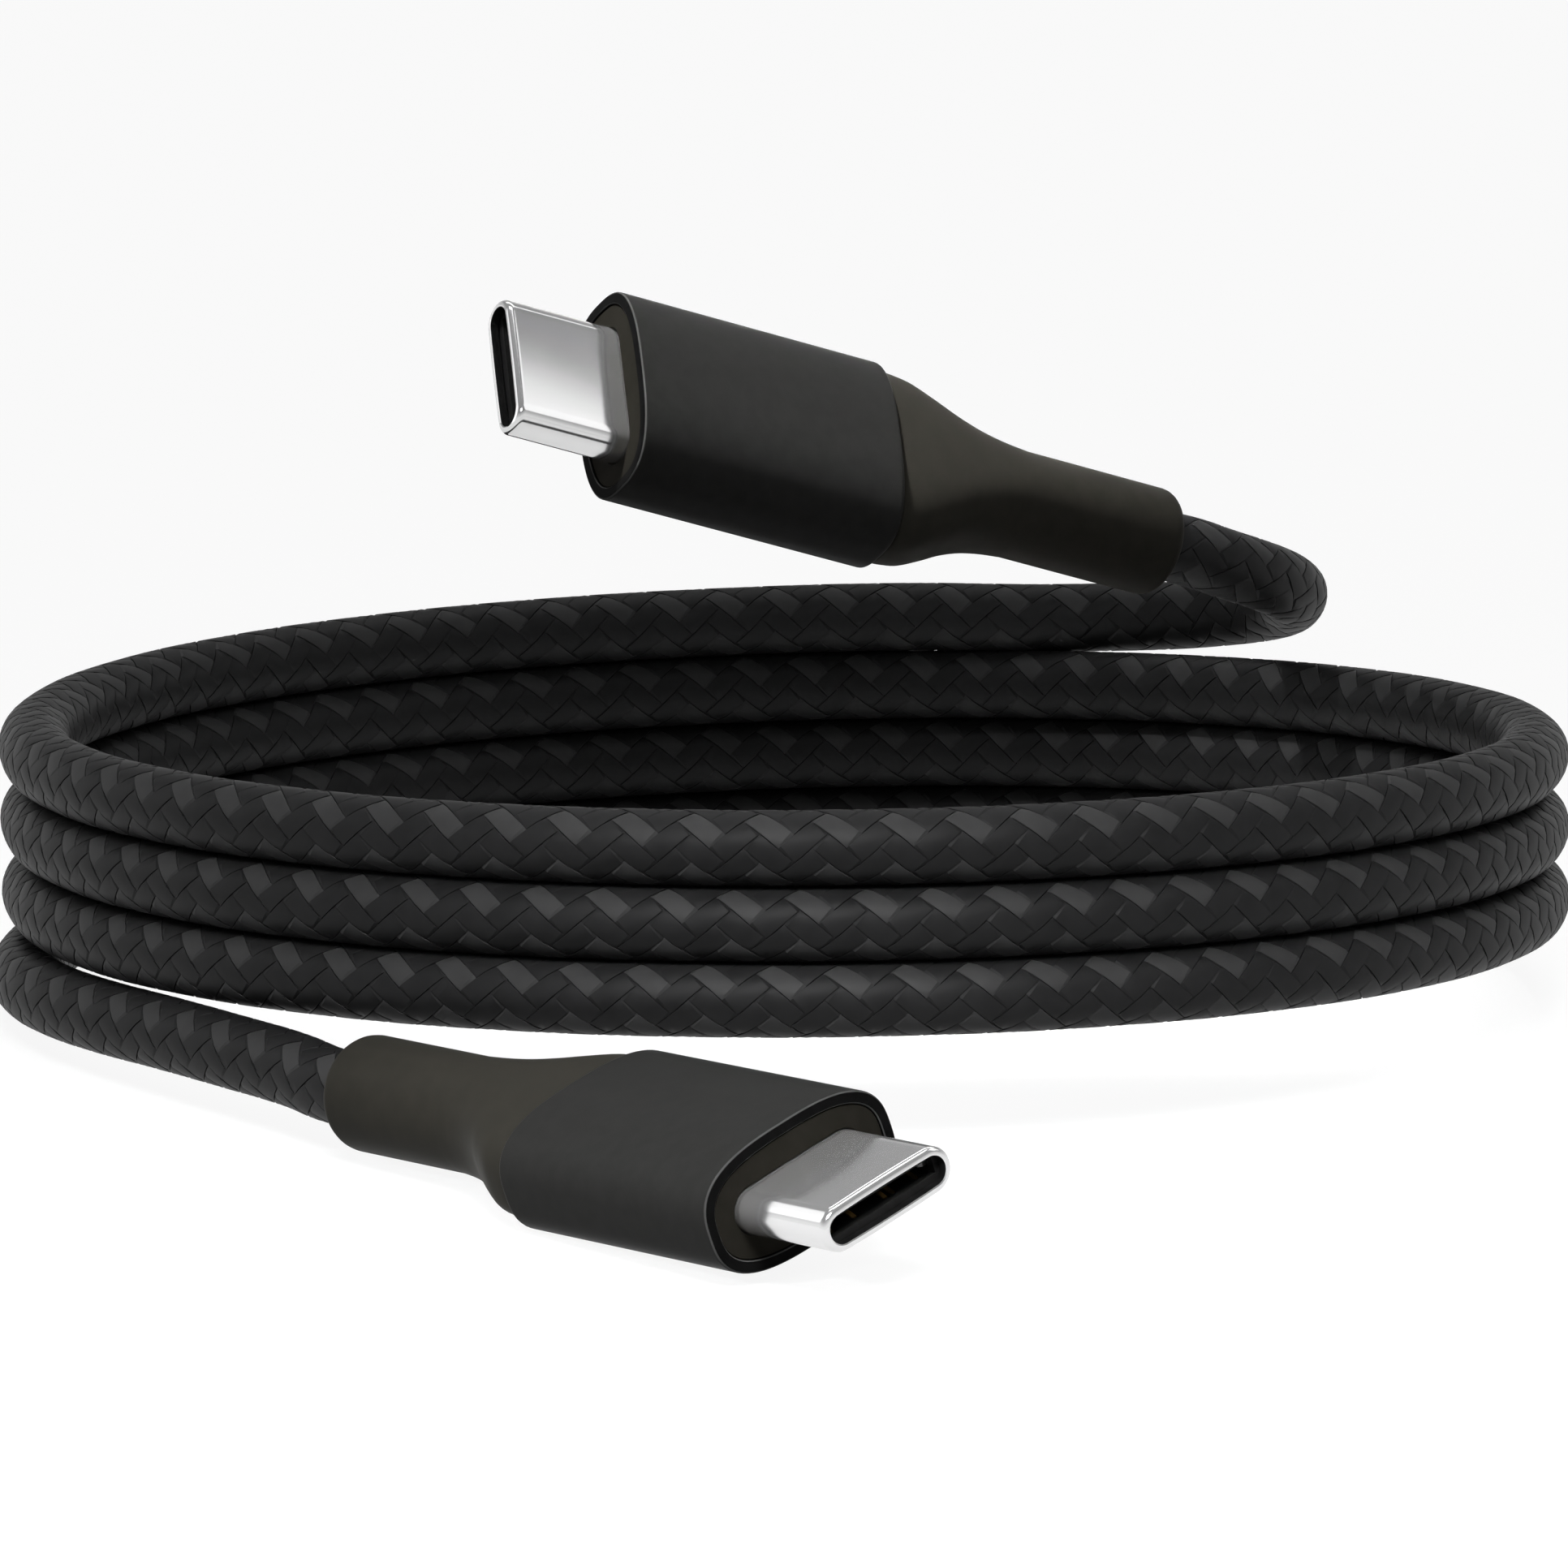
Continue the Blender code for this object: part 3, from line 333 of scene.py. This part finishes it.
# The sleeve starts inside each strain relief, clear of the crimp, and is laid on in stretches
# of whole periods.
SLEEVE_START = 5.0 * MM         # from the cable's cut end
UPPER_STRETCH, LOWER_STRETCH = 60.0 * MM, 62.0 * MM
STRETCHES = ["sleeve_upper_stretch", "sleeve_coil_a", "sleeve_coil_b", "sleeve_coil_c",
             "sleeve_coil_d", "sleeve_lower_stretch"]
cells = math.floor((cable_length - 2.0 * SLEEVE_START) / PERIOD)
slack = cable_length - 2.0 * SLEEVE_START - cells * PERIOD
coil_from = round(UPPER_STRETCH / PERIOD)
coil_to = cells - round(LOWER_STRETCH / PERIOD)
quarter = (coil_to - coil_from) / 4.0
stretch_ends = [0] + [round(coil_from + quarter * i) for i in range(5)] + [cells]
for name, first, last in zip(STRETCHES, stretch_ends, stretch_ends[1:]):
    shifted = cell.copy()
    shifted.transform(Matrix.Translation((SLEEVE_START + slack / 2.0 + first * PERIOD, 0, 0)))
    stretch = laid_on_cable(name, shifted, last - first, PERIOD)
    stretch.data.set_sharp_from_angle(angle=math.radians(RIBBON_SHARP))
    bpy.data.meshes.remove(shifted)
bpy.data.meshes.remove(cell)
bpy.data.objects.remove(guide_object)

# ------------------------------------------------------------------ the metal nose
# The nose that goes into the device: one deep-drawn steel tube, plated bright, its lip rolled
# in round the mouth, and the black moulding inside lines it up to the lip.
NOSE_WIDTH, NOSE_HEIGHT = 8.25 * MM, 2.40 * MM
NOSE_WALL = 0.25 * MM
NOSE_CROWN = 0.04 * MM          # how far its two broad faces fall from the middle to the edges
NOSE_REACH = 6.65 * MM
NOSE_TAIL = -2.4 * MM
LIP_RADIUS = 0.34 * MM
END_STEPS, SIDE_STEPS = 36, 12  # points round one of its ends, and along one broad face
NOSE_STEPS = 2 * (END_STEPS + SIDE_STEPS)
INWARD = -0.6                   # cosine to the way out, below which a face looks inwards
# The tube's length section, forward outside and back inside: place before the lip, inset.
NOSE_SECTION = [(NOSE_REACH - NOSE_TAIL, 0.0), (1.25 * LIP_RADIUS, 0.0)]
NOSE_SECTION += [(LIP_RADIUS * (1.0 - math.sin(math.radians(turn))),
                  LIP_RADIUS * (1.0 - math.cos(math.radians(turn))))
                 for turn in range(0, 91, 15)]
NOSE_SECTION += [(0.10 * LIP_RADIUS, 1.20 * LIP_RADIUS), (0.35 * LIP_RADIUS, 1.30 * LIP_RADIUS),
                 (1.5 * LIP_RADIUS, 1.30 * LIP_RADIUS), (2.0 * LIP_RADIUS, NOSE_WALL),
                 (NOSE_REACH - NOSE_TAIL, NOSE_WALL)]


def swept_shell(name, section, outline, count, plug, sharp=30.0):
    """A closed ring of a plug: outline(inset, step) swept round at each point of a section."""
    bm = bmesh.new()
    bm.loops.layers.uv.new("surface")
    rows = len(section)

    def place(share, step):
        x, inset = section[round(share * rows) % rows]
        y, z = outline(inset, step % count)
        return Vector((x, y, z))
    mapped_grid(bm, rows, count, place)
    bmesh.ops.remove_doubles(bm, verts=bm.verts, dist=0.0001 * MM)
    bmesh.ops.transform(bm, matrix=PLUGS[plug], verts=bm.verts)
    bmesh.ops.recalc_face_normals(bm, faces=bm.faces)
    mesh = bpy.data.meshes.new(name)
    bm.to_mesh(mesh)
    bm.free()
    mesh.shade_smooth()
    mesh.set_sharp_from_angle(angle=math.radians(sharp))
    return new_piece(name, mesh)


def nose_outline(inset, step):
    """A slot with round ends: round one end, along one broad face, then the other two."""
    radius = NOSE_HEIGHT / 2.0 - inset
    offset = NOSE_WIDTH / 2.0 - NOSE_HEIGHT / 2.0
    side = 1.0 if step < NOSE_STEPS // 2 else -1.0
    step %= NOSE_STEPS // 2
    if step <= END_STEPS:
        angle = math.radians(-90.0 + 180.0 * step / END_STEPS)
        return (side * (offset + radius * math.cos(angle)),
                side * (radius - NOSE_CROWN) * math.sin(angle))
    along = 1.0 - 2.0 * (step - END_STEPS) / SIDE_STEPS
    return side * offset * along, side * (radius - NOSE_CROWN * along * along)


def second_finish(piece, plug, material, chosen):
    """Another material for the faces whose centre and normal in the plug's frame are chosen."""
    to_plug = PLUGS[plug].inverted()
    piece.data.materials.append(material)
    for face in piece.data.polygons:
        if chosen(to_plug @ face.center, to_plug.to_3x3() @ face.normal):
            face.material_index = len(piece.data.materials) - 1


def in_the_mouth(centre, normal):
    """Whether a face of the nose looks inwards."""
    across = math.copysign(max(abs(centre.y) - (NOSE_WIDTH - NOSE_HEIGHT) / 2.0, 0.0), centre.y)
    return normal.dot(Vector((0.0, across, centre.z)).normalized()) < INWARD


bright, tree, shader = surface("bright_plated_steel", (0.72, 0.72, 0.72), 0.14, metallic=0.85)
mottle(tree, shader, ((0.715, 0.715, 0.72), (0.725, 0.725, 0.725)), (0.13, 0.15), 350.0)
lining, tree, shader = surface("mouth_lining_black", (0.008, 0.008, 0.008), 0.5, specular=0.05)
mottle(tree, shader, ((0.006, 0.006, 0.006), (0.010, 0.010, 0.010)), (0.45, 0.55), 1500.0)
for plug in PLUGS:
    nose = swept_shell(
        f"{plug}_nose", [(NOSE_REACH - back, inset) for back, inset in NOSE_SECTION],
        nose_outline, NOSE_STEPS, plug)
    nose.data.materials.append(bright)
    second_finish(nose, plug, lining, in_the_mouth)
    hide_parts(f"{plug}_metal_shell")

# ------------------------------------------------------------------ the housing
# A slim oval sleeve of aluminium, blasted and dyed satin black, its two edges broken. The
# face plate and the strain relief are pressed in from its ends.
HOUSING_WIDTH, HOUSING_HEIGHT = 11.9 * MM, 6.5 * MM
HOUSING_LENGTH = 16.4 * MM
HOUSING_WALL = 0.6 * MM
HOUSING_SQUARENESS = 2.85
EDGE = 0.25 * MM                # how far its edges are broken
FORWARD, HALF_FORWARD = 0.9, 0.4        # how far a face turns to the front, 1 for straight on
RING_STEPS = 128


def oval_outline(width, height, squareness):
    """An oval that is squarer than an ellipse, as a function of inset and step."""
    def outline(inset, step):
        turn = 2.0 * math.pi * step / RING_STEPS
        c, s = math.cos(turn), math.sin(turn)
        reach = (abs(c / (width / 2.0 - inset)) ** squareness
                 + abs(s / (height / 2.0 - inset)) ** squareness) ** (-1.0 / squareness)
        return reach * c, reach * s
    return outline


# The housing's length section, forward outside and back inside: place, inset.
HOUSING_SECTION = [
    (-HOUSING_LENGTH, EDGE), (0.08 * EDGE - HOUSING_LENGTH, 0.62 * EDGE),
    (0.29 * EDGE - HOUSING_LENGTH, 0.29 * EDGE), (0.62 * EDGE - HOUSING_LENGTH, 0.08 * EDGE),
    (EDGE - HOUSING_LENGTH, 0.0), (1.4 * EDGE - HOUSING_LENGTH, 0.0),
    (-0.5 * HOUSING_LENGTH, 0.0), (-0.8 * EDGE, 0.0), (-0.5 * EDGE, 0.0),
    (-0.31 * EDGE, 0.04 * EDGE), (-0.15 * EDGE, 0.15 * EDGE), (-0.04 * EDGE, 0.31 * EDGE),
    (0.0, 0.5 * EDGE), (0.0, 0.7 * EDGE), (0.0, HOUSING_WALL - 0.2 * EDGE),
    (-0.2 * EDGE, HOUSING_WALL), (-HOUSING_LENGTH, HOUSING_WALL),
]


def fine_grain(tree, shader, scale, strength, distance):
    """A very fine bump, as of a blasted or moulded surface."""
    where = node(tree, "ShaderNodeTexCoord")
    grain = node(tree, "ShaderNodeTexNoise", in_Scale=scale, in_Detail=2.0)
    tree.links.new(where.outputs["Object"], grain.inputs["Vector"])
    bump = node(tree, "ShaderNodeBump", in_Strength=strength, in_Distance=distance)
    tree.links.new(grain.outputs["Fac"], bump.inputs["Height"])
    tree.links.new(bump.outputs["Normal"], shader.inputs["Normal"])


def soft_sheen(shader):
    """A faint, even sheen at a glancing view, as of a dulled surface."""
    shader.inputs["Sheen Weight"].default_value = 0.04
    shader.inputs["Sheen Roughness"].default_value = 0.30


def on_the_rim(centre, normal):
    """Whether a face of the housing is on its front end or looks inwards."""
    outward = Vector((0.0, centre.y, centre.z))
    return (centre.x > -EDGE and normal.x > FORWARD) or normal.dot(outward) < 0.0


def on_the_painted_highlight_edge(centre, normal):
    """Whether a face of the housing is on its broken front edge, which gets a painted highlight.
    """
    return centre.x > -EDGE and HALF_FORWARD < normal.x <= FORWARD


satin, tree, shader = surface("satin_black_aluminium", (0.022, 0.022, 0.0215), 0.36,
                              specular=0.01)
mottle(tree, shader, ((0.021, 0.021, 0.0203), (0.0235, 0.0235, 0.0227)), (0.34, 0.40), 1200.0)
fine_grain(tree, shader, 9000.0, 0.10, 0.00001)
soft_sheen(shader)
rim_black, tree, shader = surface("rim_black", (0.005, 0.005, 0.005), 0.45, specular=0.01)
mottle(tree, shader, ((0.004, 0.004, 0.004), (0.006, 0.006, 0.006)), (0.4, 0.5), 1200.0)
# A lighter grey painted on the broken front edge: a painted highlight, not the metal's own
# colour.
painted_edge_highlight, tree, shader = surface("painted_highlight_grey", (0.065, 0.065, 0.064), 0.3, specular=0.02)
mottle(tree, shader, ((0.058, 0.058, 0.057), (0.072, 0.072, 0.071)), (0.28, 0.34), 1200.0)
for plug in PLUGS:
    housing = swept_shell(
        f"{plug}_sleeve", HOUSING_SECTION,
        oval_outline(HOUSING_WIDTH, HOUSING_HEIGHT, HOUSING_SQUARENESS), RING_STEPS, plug)
    housing.data.materials.append(satin)
    second_finish(housing, plug, rim_black, on_the_rim)
    second_finish(housing, plug, painted_edge_highlight, on_the_painted_highlight_edge)
    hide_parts(f"{plug}_housing")

# ------------------------------------------------------------------ the face plate
# A moulded plate that closes the housing's mouth just inside its rim, with a slot that holds
# the nose. It is a slightly warm, matte black.
PLATE_FRONT, PLATE_BACK = -0.12 * MM, -1.35 * MM
PLATE_GAP = 0.02 * MM
PLATE_EDGE = 0.06 * MM
IN_THE_SLOT = 1.0               # added to an inset for the plate's side round the nose


def plate_outline(inset, step):
    """The plate's rim, or its slot for the nose; here an inset is in millimetres."""
    turn = 2.0 * math.pi * step / RING_STEPS
    if inset < IN_THE_SLOT:
        rim = oval_outline(HOUSING_WIDTH, HOUSING_HEIGHT, HOUSING_SQUARENESS)
        return rim(HOUSING_WALL + PLATE_GAP + inset * MM, step)
    radius = NOSE_HEIGHT / 2.0 + PLATE_GAP + (inset - IN_THE_SLOT) * MM
    offset = (NOSE_WIDTH - NOSE_HEIGHT) / 2.0
    c, s = math.cos(turn), math.sin(turn)
    if abs(s) * offset >= abs(c) * radius:
        reach = radius / abs(s)
    else:
        along = offset * abs(c)
        reach = along + math.sqrt(along * along - offset * offset + radius * radius)
    return reach * c, reach * s


plate_black, tree, shader = surface("warm_black_plate", (0.017, 0.016, 0.013), 0.55,
                                    specular=0.01)
mottle(tree, shader, ((0.016, 0.015, 0.012), (0.019, 0.0175, 0.0145)), (0.5, 0.62), 1000.0)
fine_grain(tree, shader, 7000.0, 0.12, 0.00001)
for plug in PLUGS:
    plate = swept_shell(
        f"{plug}_face_plate",
        [(PLATE_BACK, 0.0), (PLATE_FRONT - PLATE_EDGE, 0.0), (PLATE_FRONT, PLATE_EDGE / MM),
         (PLATE_FRONT, IN_THE_SLOT + PLATE_EDGE / MM),
         (PLATE_FRONT - PLATE_EDGE, IN_THE_SLOT), (PLATE_BACK, IN_THE_SLOT)],
        plate_outline, RING_STEPS, plug)
    plate.data.materials.append(plate_black)
    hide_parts(f"{plug}_front_bezel")

# ------------------------------------------------------------------ the strain relief
# A soft moulded boot behind the housing. It runs in one sweep from the housing's oval down to
# a round tube whose end is rounded over, and the cable comes out of its bore.
BOOT_FRONT = -16.5 * MM
BOOT_STEP = 0.35 * MM           # how far it stands in from the housing's sides
BOOT_TUBE = 5.9 * MM            # across
BOOT_BORE = 4.0 * MM
BORE_BREAK, BORE_BREAK_DEPTH = 0.08 * MM, 0.1 * MM      # of the bore's edge
AT_BORE_EDGE, AT_BORE = 1.0, 2.0        # in place of an inset, in the boot's section
BOOT_ROUND = 0.8 * MM
FLARE_LENGTH = 9.1 * MM
# Share of the flare's length, share of width left over the tube's, and squareness.
FLARE = [
    (0.00, 1.00, 2.85), (0.10, 0.97, 2.85), (0.21, 0.89, 2.85), (0.37, 0.63, 2.75),
    (0.52, 0.36, 2.60), (0.68, 0.16, 2.35), (0.84, 0.05, 2.15), (1.00, 0.00, 2.00),
]
FLARE_STEPS = 40
FALL_FROM, FALL_OVER = 0.45, 0.55       # shares of the flare, where its height meets the tube's
BOOT_EDGE = 0.15 * MM
BOOT_SHARP = 40.0               # degrees


def flare_at(share):
    """The flare's width share and squareness, smoothly between the table's rows."""
    last = len(FLARE) - 1
    row = max(i for i in range(last) if FLARE[i][0] <= share)
    a, b, c, d = (FLARE[min(max(row + k, 0), last)] for k in (-1, 0, 1, 2))
    t = (share - b[0]) / (c[0] - b[0])
    values = []
    for column in (1, 2):
        slope_b = (c[column] - a[column]) / max(c[0] - a[0], 1e-9) * (c[0] - b[0])
        slope_c = (d[column] - b[column]) / max(d[0] - b[0], 1e-9) * (c[0] - b[0])
        values.append(b[column] * (2 * t**3 - 3 * t**2 + 1) + slope_b * (t**3 - 2 * t**2 + t)
                      + c[column] * (3 * t**2 - 2 * t**3) + slope_c * (t**3 - t**2))
    return values


def boot_ring(x):
    """The boot's width, height and squareness at a place along it."""
    wide, high = HOUSING_WIDTH - 2.0 * BOOT_STEP, HOUSING_HEIGHT - 2.0 * BOOT_STEP
    share = min((BOOT_FRONT - x) / FLARE_LENGTH, 1.0)
    left, squareness = flare_at(share) if share < 1.0 else (0.0, 2.0)
    fall = max(0.0, share - FALL_FROM) / FALL_OVER
    fall = fall * fall * (3.0 - 2.0 * fall)
    return (BOOT_TUBE + (wide - BOOT_TUBE) * left, high + (BOOT_TUBE - high) * fall, squareness)


boot_section = [(BOOT_FRONT, BOOT_EDGE), (BOOT_FRONT - 0.3 * BOOT_EDGE, 0.3 * BOOT_EDGE),
                (BOOT_FRONT - BOOT_EDGE, 0.0)]
boot_section += [(BOOT_FRONT - FLARE_LENGTH * i / FLARE_STEPS, 0.0)
                 for i in range(1, FLARE_STEPS + 1)]
boot_section += [(BOOT_END + BOOT_ROUND * (1.0 - math.sin(math.radians(turn))),
                  BOOT_ROUND * (1.0 - math.cos(math.radians(turn))))
                 for turn in range(0, 91, 15)]
boot_section += [(BOOT_END, AT_BORE_EDGE), (BOOT_END + BORE_BREAK_DEPTH, AT_BORE),
                 (BOOT_FRONT, AT_BORE)]


def boot_outline(row, step):
    """The boot's outline for a row of its section: its place along the boot and its inset."""
    x, inset = row
    turn = 2.0 * math.pi * step / RING_STEPS
    if inset >= AT_BORE_EDGE:
        radius = BOOT_BORE / 2.0 + (BORE_BREAK if inset < AT_BORE else 0.0)
        return radius * math.cos(turn), radius * math.sin(turn)
    width, height, squareness = boot_ring(x)
    return oval_outline(width, height, squareness)(inset, step)


soft, tree, shader = surface("matte_warm_boot", (0.028, 0.0262, 0.0219), 0.5, specular=0.015)
mottle(tree, shader, ((0.026, 0.0247, 0.0206), (0.0295, 0.0278, 0.0232)), (0.45, 0.55), 900.0)
fine_grain(tree, shader, 6000.0, 0.12, 0.00001)
soft_sheen(shader)
for plug in PLUGS:
    boot = swept_shell(f"{plug}_boot", [(x, (x, inset)) for x, inset in boot_section],
                       boot_outline, RING_STEPS, plug, BOOT_SHARP)
    boot.data.materials.append(soft)
    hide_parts(f"{plug}_strain_relief")

# ------------------------------------------------------------------ inside the plugs
# The moulded nose insides, the gold contacts, the springs and latches of stamped steel, the
# circuit board with its chip, the crimp, the wires and the block that seals them in. They are
# the part's own solids, each with its finish.
moulded_black, tree, shader = surface("moulded_black", (0.012, 0.012, 0.012), 0.5, specular=0.15)
mottle(tree, shader, ((0.010, 0.010, 0.010), (0.014, 0.014, 0.014)), (0.42, 0.55), 1500.0)
gold, tree, shader = surface("thin_gold_plate", (0.40, 0.31, 0.17), 0.35, metallic=1.0)
mottle(tree, shader, ((0.38, 0.29, 0.155), (0.42, 0.33, 0.185)), (0.30, 0.40), 1800.0)
stamped, tree, shader = surface("stamped_steel", (0.60, 0.60, 0.60), 0.28, metallic=1.0)
mottle(tree, shader, ((0.56, 0.56, 0.56), (0.64, 0.64, 0.64)), (0.24, 0.34), 1200.0)
board_green, tree, shader = surface("green_board", (0.03, 0.14, 0.06), 0.45)
mottle(tree, shader, ((0.024, 0.12, 0.05), (0.035, 0.16, 0.07)), (0.35, 0.5), 1500.0)
chip_black, tree, shader = surface("chip_black", (0.02, 0.02, 0.02), 0.40)
mottle(tree, shader, ((0.018, 0.018, 0.018), (0.024, 0.024, 0.024)), (0.35, 0.5), 2000.0)
mould_grey, tree, shader = surface("grey_mould", (0.30, 0.30, 0.29), 0.55)
mottle(tree, shader, ((0.28, 0.28, 0.27), (0.32, 0.32, 0.31)), (0.5, 0.65), 900.0)
wire_finishes = {}
for wire, low, high in (("power_wire", (0.50, 0.025, 0.015), (0.58, 0.035, 0.025)),
                        ("ground_wire", (0.018, 0.018, 0.018), (0.023, 0.023, 0.023)),
                        ("control_wire", (0.025, 0.09, 0.42), (0.035, 0.11, 0.48))):
    wire_finishes[wire], tree, shader = surface(f"{wire}_cover", high, 0.4)
    mottle(tree, shader, (low, high), (0.33, 0.45), 1400.0)
INNER_FINISHES = [
    ("front_insulator", moulded_black), ("contact_carrier", moulded_black),
    ("contact_", gold), ("latch_", stamped), ("ground_spring", stamped),
    ("circuit_board", board_green), ("marker_chip", chip_black), ("shield_can", stamped),
    ("crimp_ferrule", stamped), ("inner_mould", mould_grey),
] + list(wire_finishes.items())
for name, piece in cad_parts.items():
    if piece.hide_render:
        continue
    finish = next(finish for word, finish in INNER_FINISHES if word in name)
    if not piece.material_slots:
        piece.data.materials.append(finish)
    for slot in piece.material_slots:
        slot.material = finish

# ------------------------------------------------------------------ the studio
# A pale floor that shows as white with the cable's soft shadow on it, and a white world. Soft
# light falls from the front, from above and from behind. Two narrow lamps light the plugs, and
# two cards at the sides show in their metal.
FLOOR_REACH = 6.0               # metres each way
floor_mesh = bpy.data.meshes.new("floor")
bm = bmesh.new()
bmesh.ops.create_grid(bm, x_segments=1, y_segments=1, size=FLOOR_REACH)
bm.to_mesh(floor_mesh)
bm.free()
floor = bpy.data.objects.new("floor", floor_mesh)
bpy.context.scene.collection.objects.link(floor)


def seen_ray(tree):
    """A factor of 1 for rays that show the background: camera, glossy and transmission."""
    path = node(tree, "ShaderNodeLightPath")
    either = node(tree, "ShaderNodeMath", operation="MAXIMUM")
    tree.links.new(path.outputs["Is Camera Ray"], either.inputs[0])
    tree.links.new(path.outputs["Is Glossy Ray"], either.inputs[1])
    any_of = node(tree, "ShaderNodeMath", operation="MAXIMUM")
    tree.links.new(either.outputs[0], any_of.inputs[0])
    tree.links.new(path.outputs["Is Transmission Ray"], any_of.inputs[1])
    return any_of.outputs[0]


FLOOR_LIT, FLOOR_GLOW = 0.16, 0.90      # what the lamps light of its white, and the rest
pale, tree, shader = surface("pale_floor", (FLOOR_LIT,) * 3, 0.9, specular=0.0)
glow = node(tree, "ShaderNodeMath", operation="MULTIPLY")
glow.inputs[1].default_value = FLOOR_GLOW
tree.links.new(seen_ray(tree), glow.inputs[0])
shader.inputs["Emission Color"].default_value = (1.0, 1.0, 1.0, 1.0)
tree.links.new(glow.outputs[0], shader.inputs["Emission Strength"])
floor_mesh.materials.append(pale)

WORLD_LIGHT = 0.04              # the world's share of the light that falls on the object
WORLD_HORIZON, WORLD_ZENITH = (1.0, 1.0, 1.0), (0.18, 0.18, 0.18)
world = bpy.data.worlds.new("studio")
bpy.context.scene.world = world
world.use_nodes = True
world_tree = world.node_tree
strength = node(world_tree, "ShaderNodeMapRange", in_To_Min=WORLD_LIGHT, in_To_Max=1.0)
world_tree.links.new(seen_ray(world_tree), strength.inputs["Value"])
sky_place = node(world_tree, "ShaderNodeTexCoord")
split = node(world_tree, "ShaderNodeSeparateXYZ")
world_tree.links.new(sky_place.outputs["Generated"], split.inputs["Vector"])
sky = node(world_tree, "ShaderNodeValToRGB")
sky.color_ramp.elements[0].position, sky.color_ramp.elements[1].position = 0.08, 0.5
sky.color_ramp.elements[0].color = (*WORLD_HORIZON, 1.0)
sky.color_ramp.elements[1].color = (*WORLD_ZENITH, 1.0)
world_tree.links.new(split.outputs["Z"], sky.inputs["Fac"])
ground = world_tree.nodes["Background"]
world_tree.links.new(sky.outputs["Color"], ground.inputs["Color"])
world_tree.links.new(strength.outputs["Result"], ground.inputs["Strength"])


def softbox(name, place, aim, size, watts, spread=180.0, mirrored=True):
    """A rectangular area lamp that looks at a point; a grid in front narrows its spread."""
    lamp_data = bpy.data.lights.new(name, "AREA")
    lamp_data.shape = "RECTANGLE"
    lamp_data.size, lamp_data.size_y = size
    lamp_data.energy = watts
    lamp_data.spread = math.radians(spread)
    lamp = bpy.data.objects.new(name, lamp_data)
    way = (Vector(aim) - Vector(place)).normalized()
    lamp.matrix_world = Matrix.Translation(Vector(place)) @ way.to_track_quat(
        "-Z", "Y").to_matrix().to_4x4()
    lamp.visible_camera = False
    lamp.visible_glossy = mirrored
    bpy.context.scene.collection.objects.link(lamp)


softbox("front_low", place=(0.0, -0.23, 0.20), aim=(0.0, -0.07, 0.01), size=(0.40, 0.08),
        watts=0.18, spread=33.0)
softbox("top", place=(0.0, 0.05, 1.4), aim=(0.0, 0.0, 0.01), size=(1.0, 0.4), watts=2.6)
softbox("back_high", place=(0.08, 0.75, 1.0), aim=(0.0, 0.0, 0.03), size=(1.2, 0.3), watts=2.5)
softbox("plug_top", place=(-0.12, 0.02, 0.38), aim=(0.004, 0.024, 0.028), size=(0.04, 0.03),
        watts=0.012, spread=4.0, mirrored=False)
softbox("plug_left", place=(-0.258, -0.20, 0.16), aim=(-0.006, -0.046, 0.004),
        size=(0.05, 0.05), watts=0.005, spread=5.0, mirrored=False)
softbox("right_card", place=(0.156, -0.002, 0.170), aim=(-0.017, 0.010, 0.034),
        size=(0.12, 0.12), watts=0.055)
softbox("left_card", place=(-0.1325, 0.010, 0.080), aim=(0.0035, -0.0545, 0.005),
        size=(0.08, 0.08), watts=0.022)
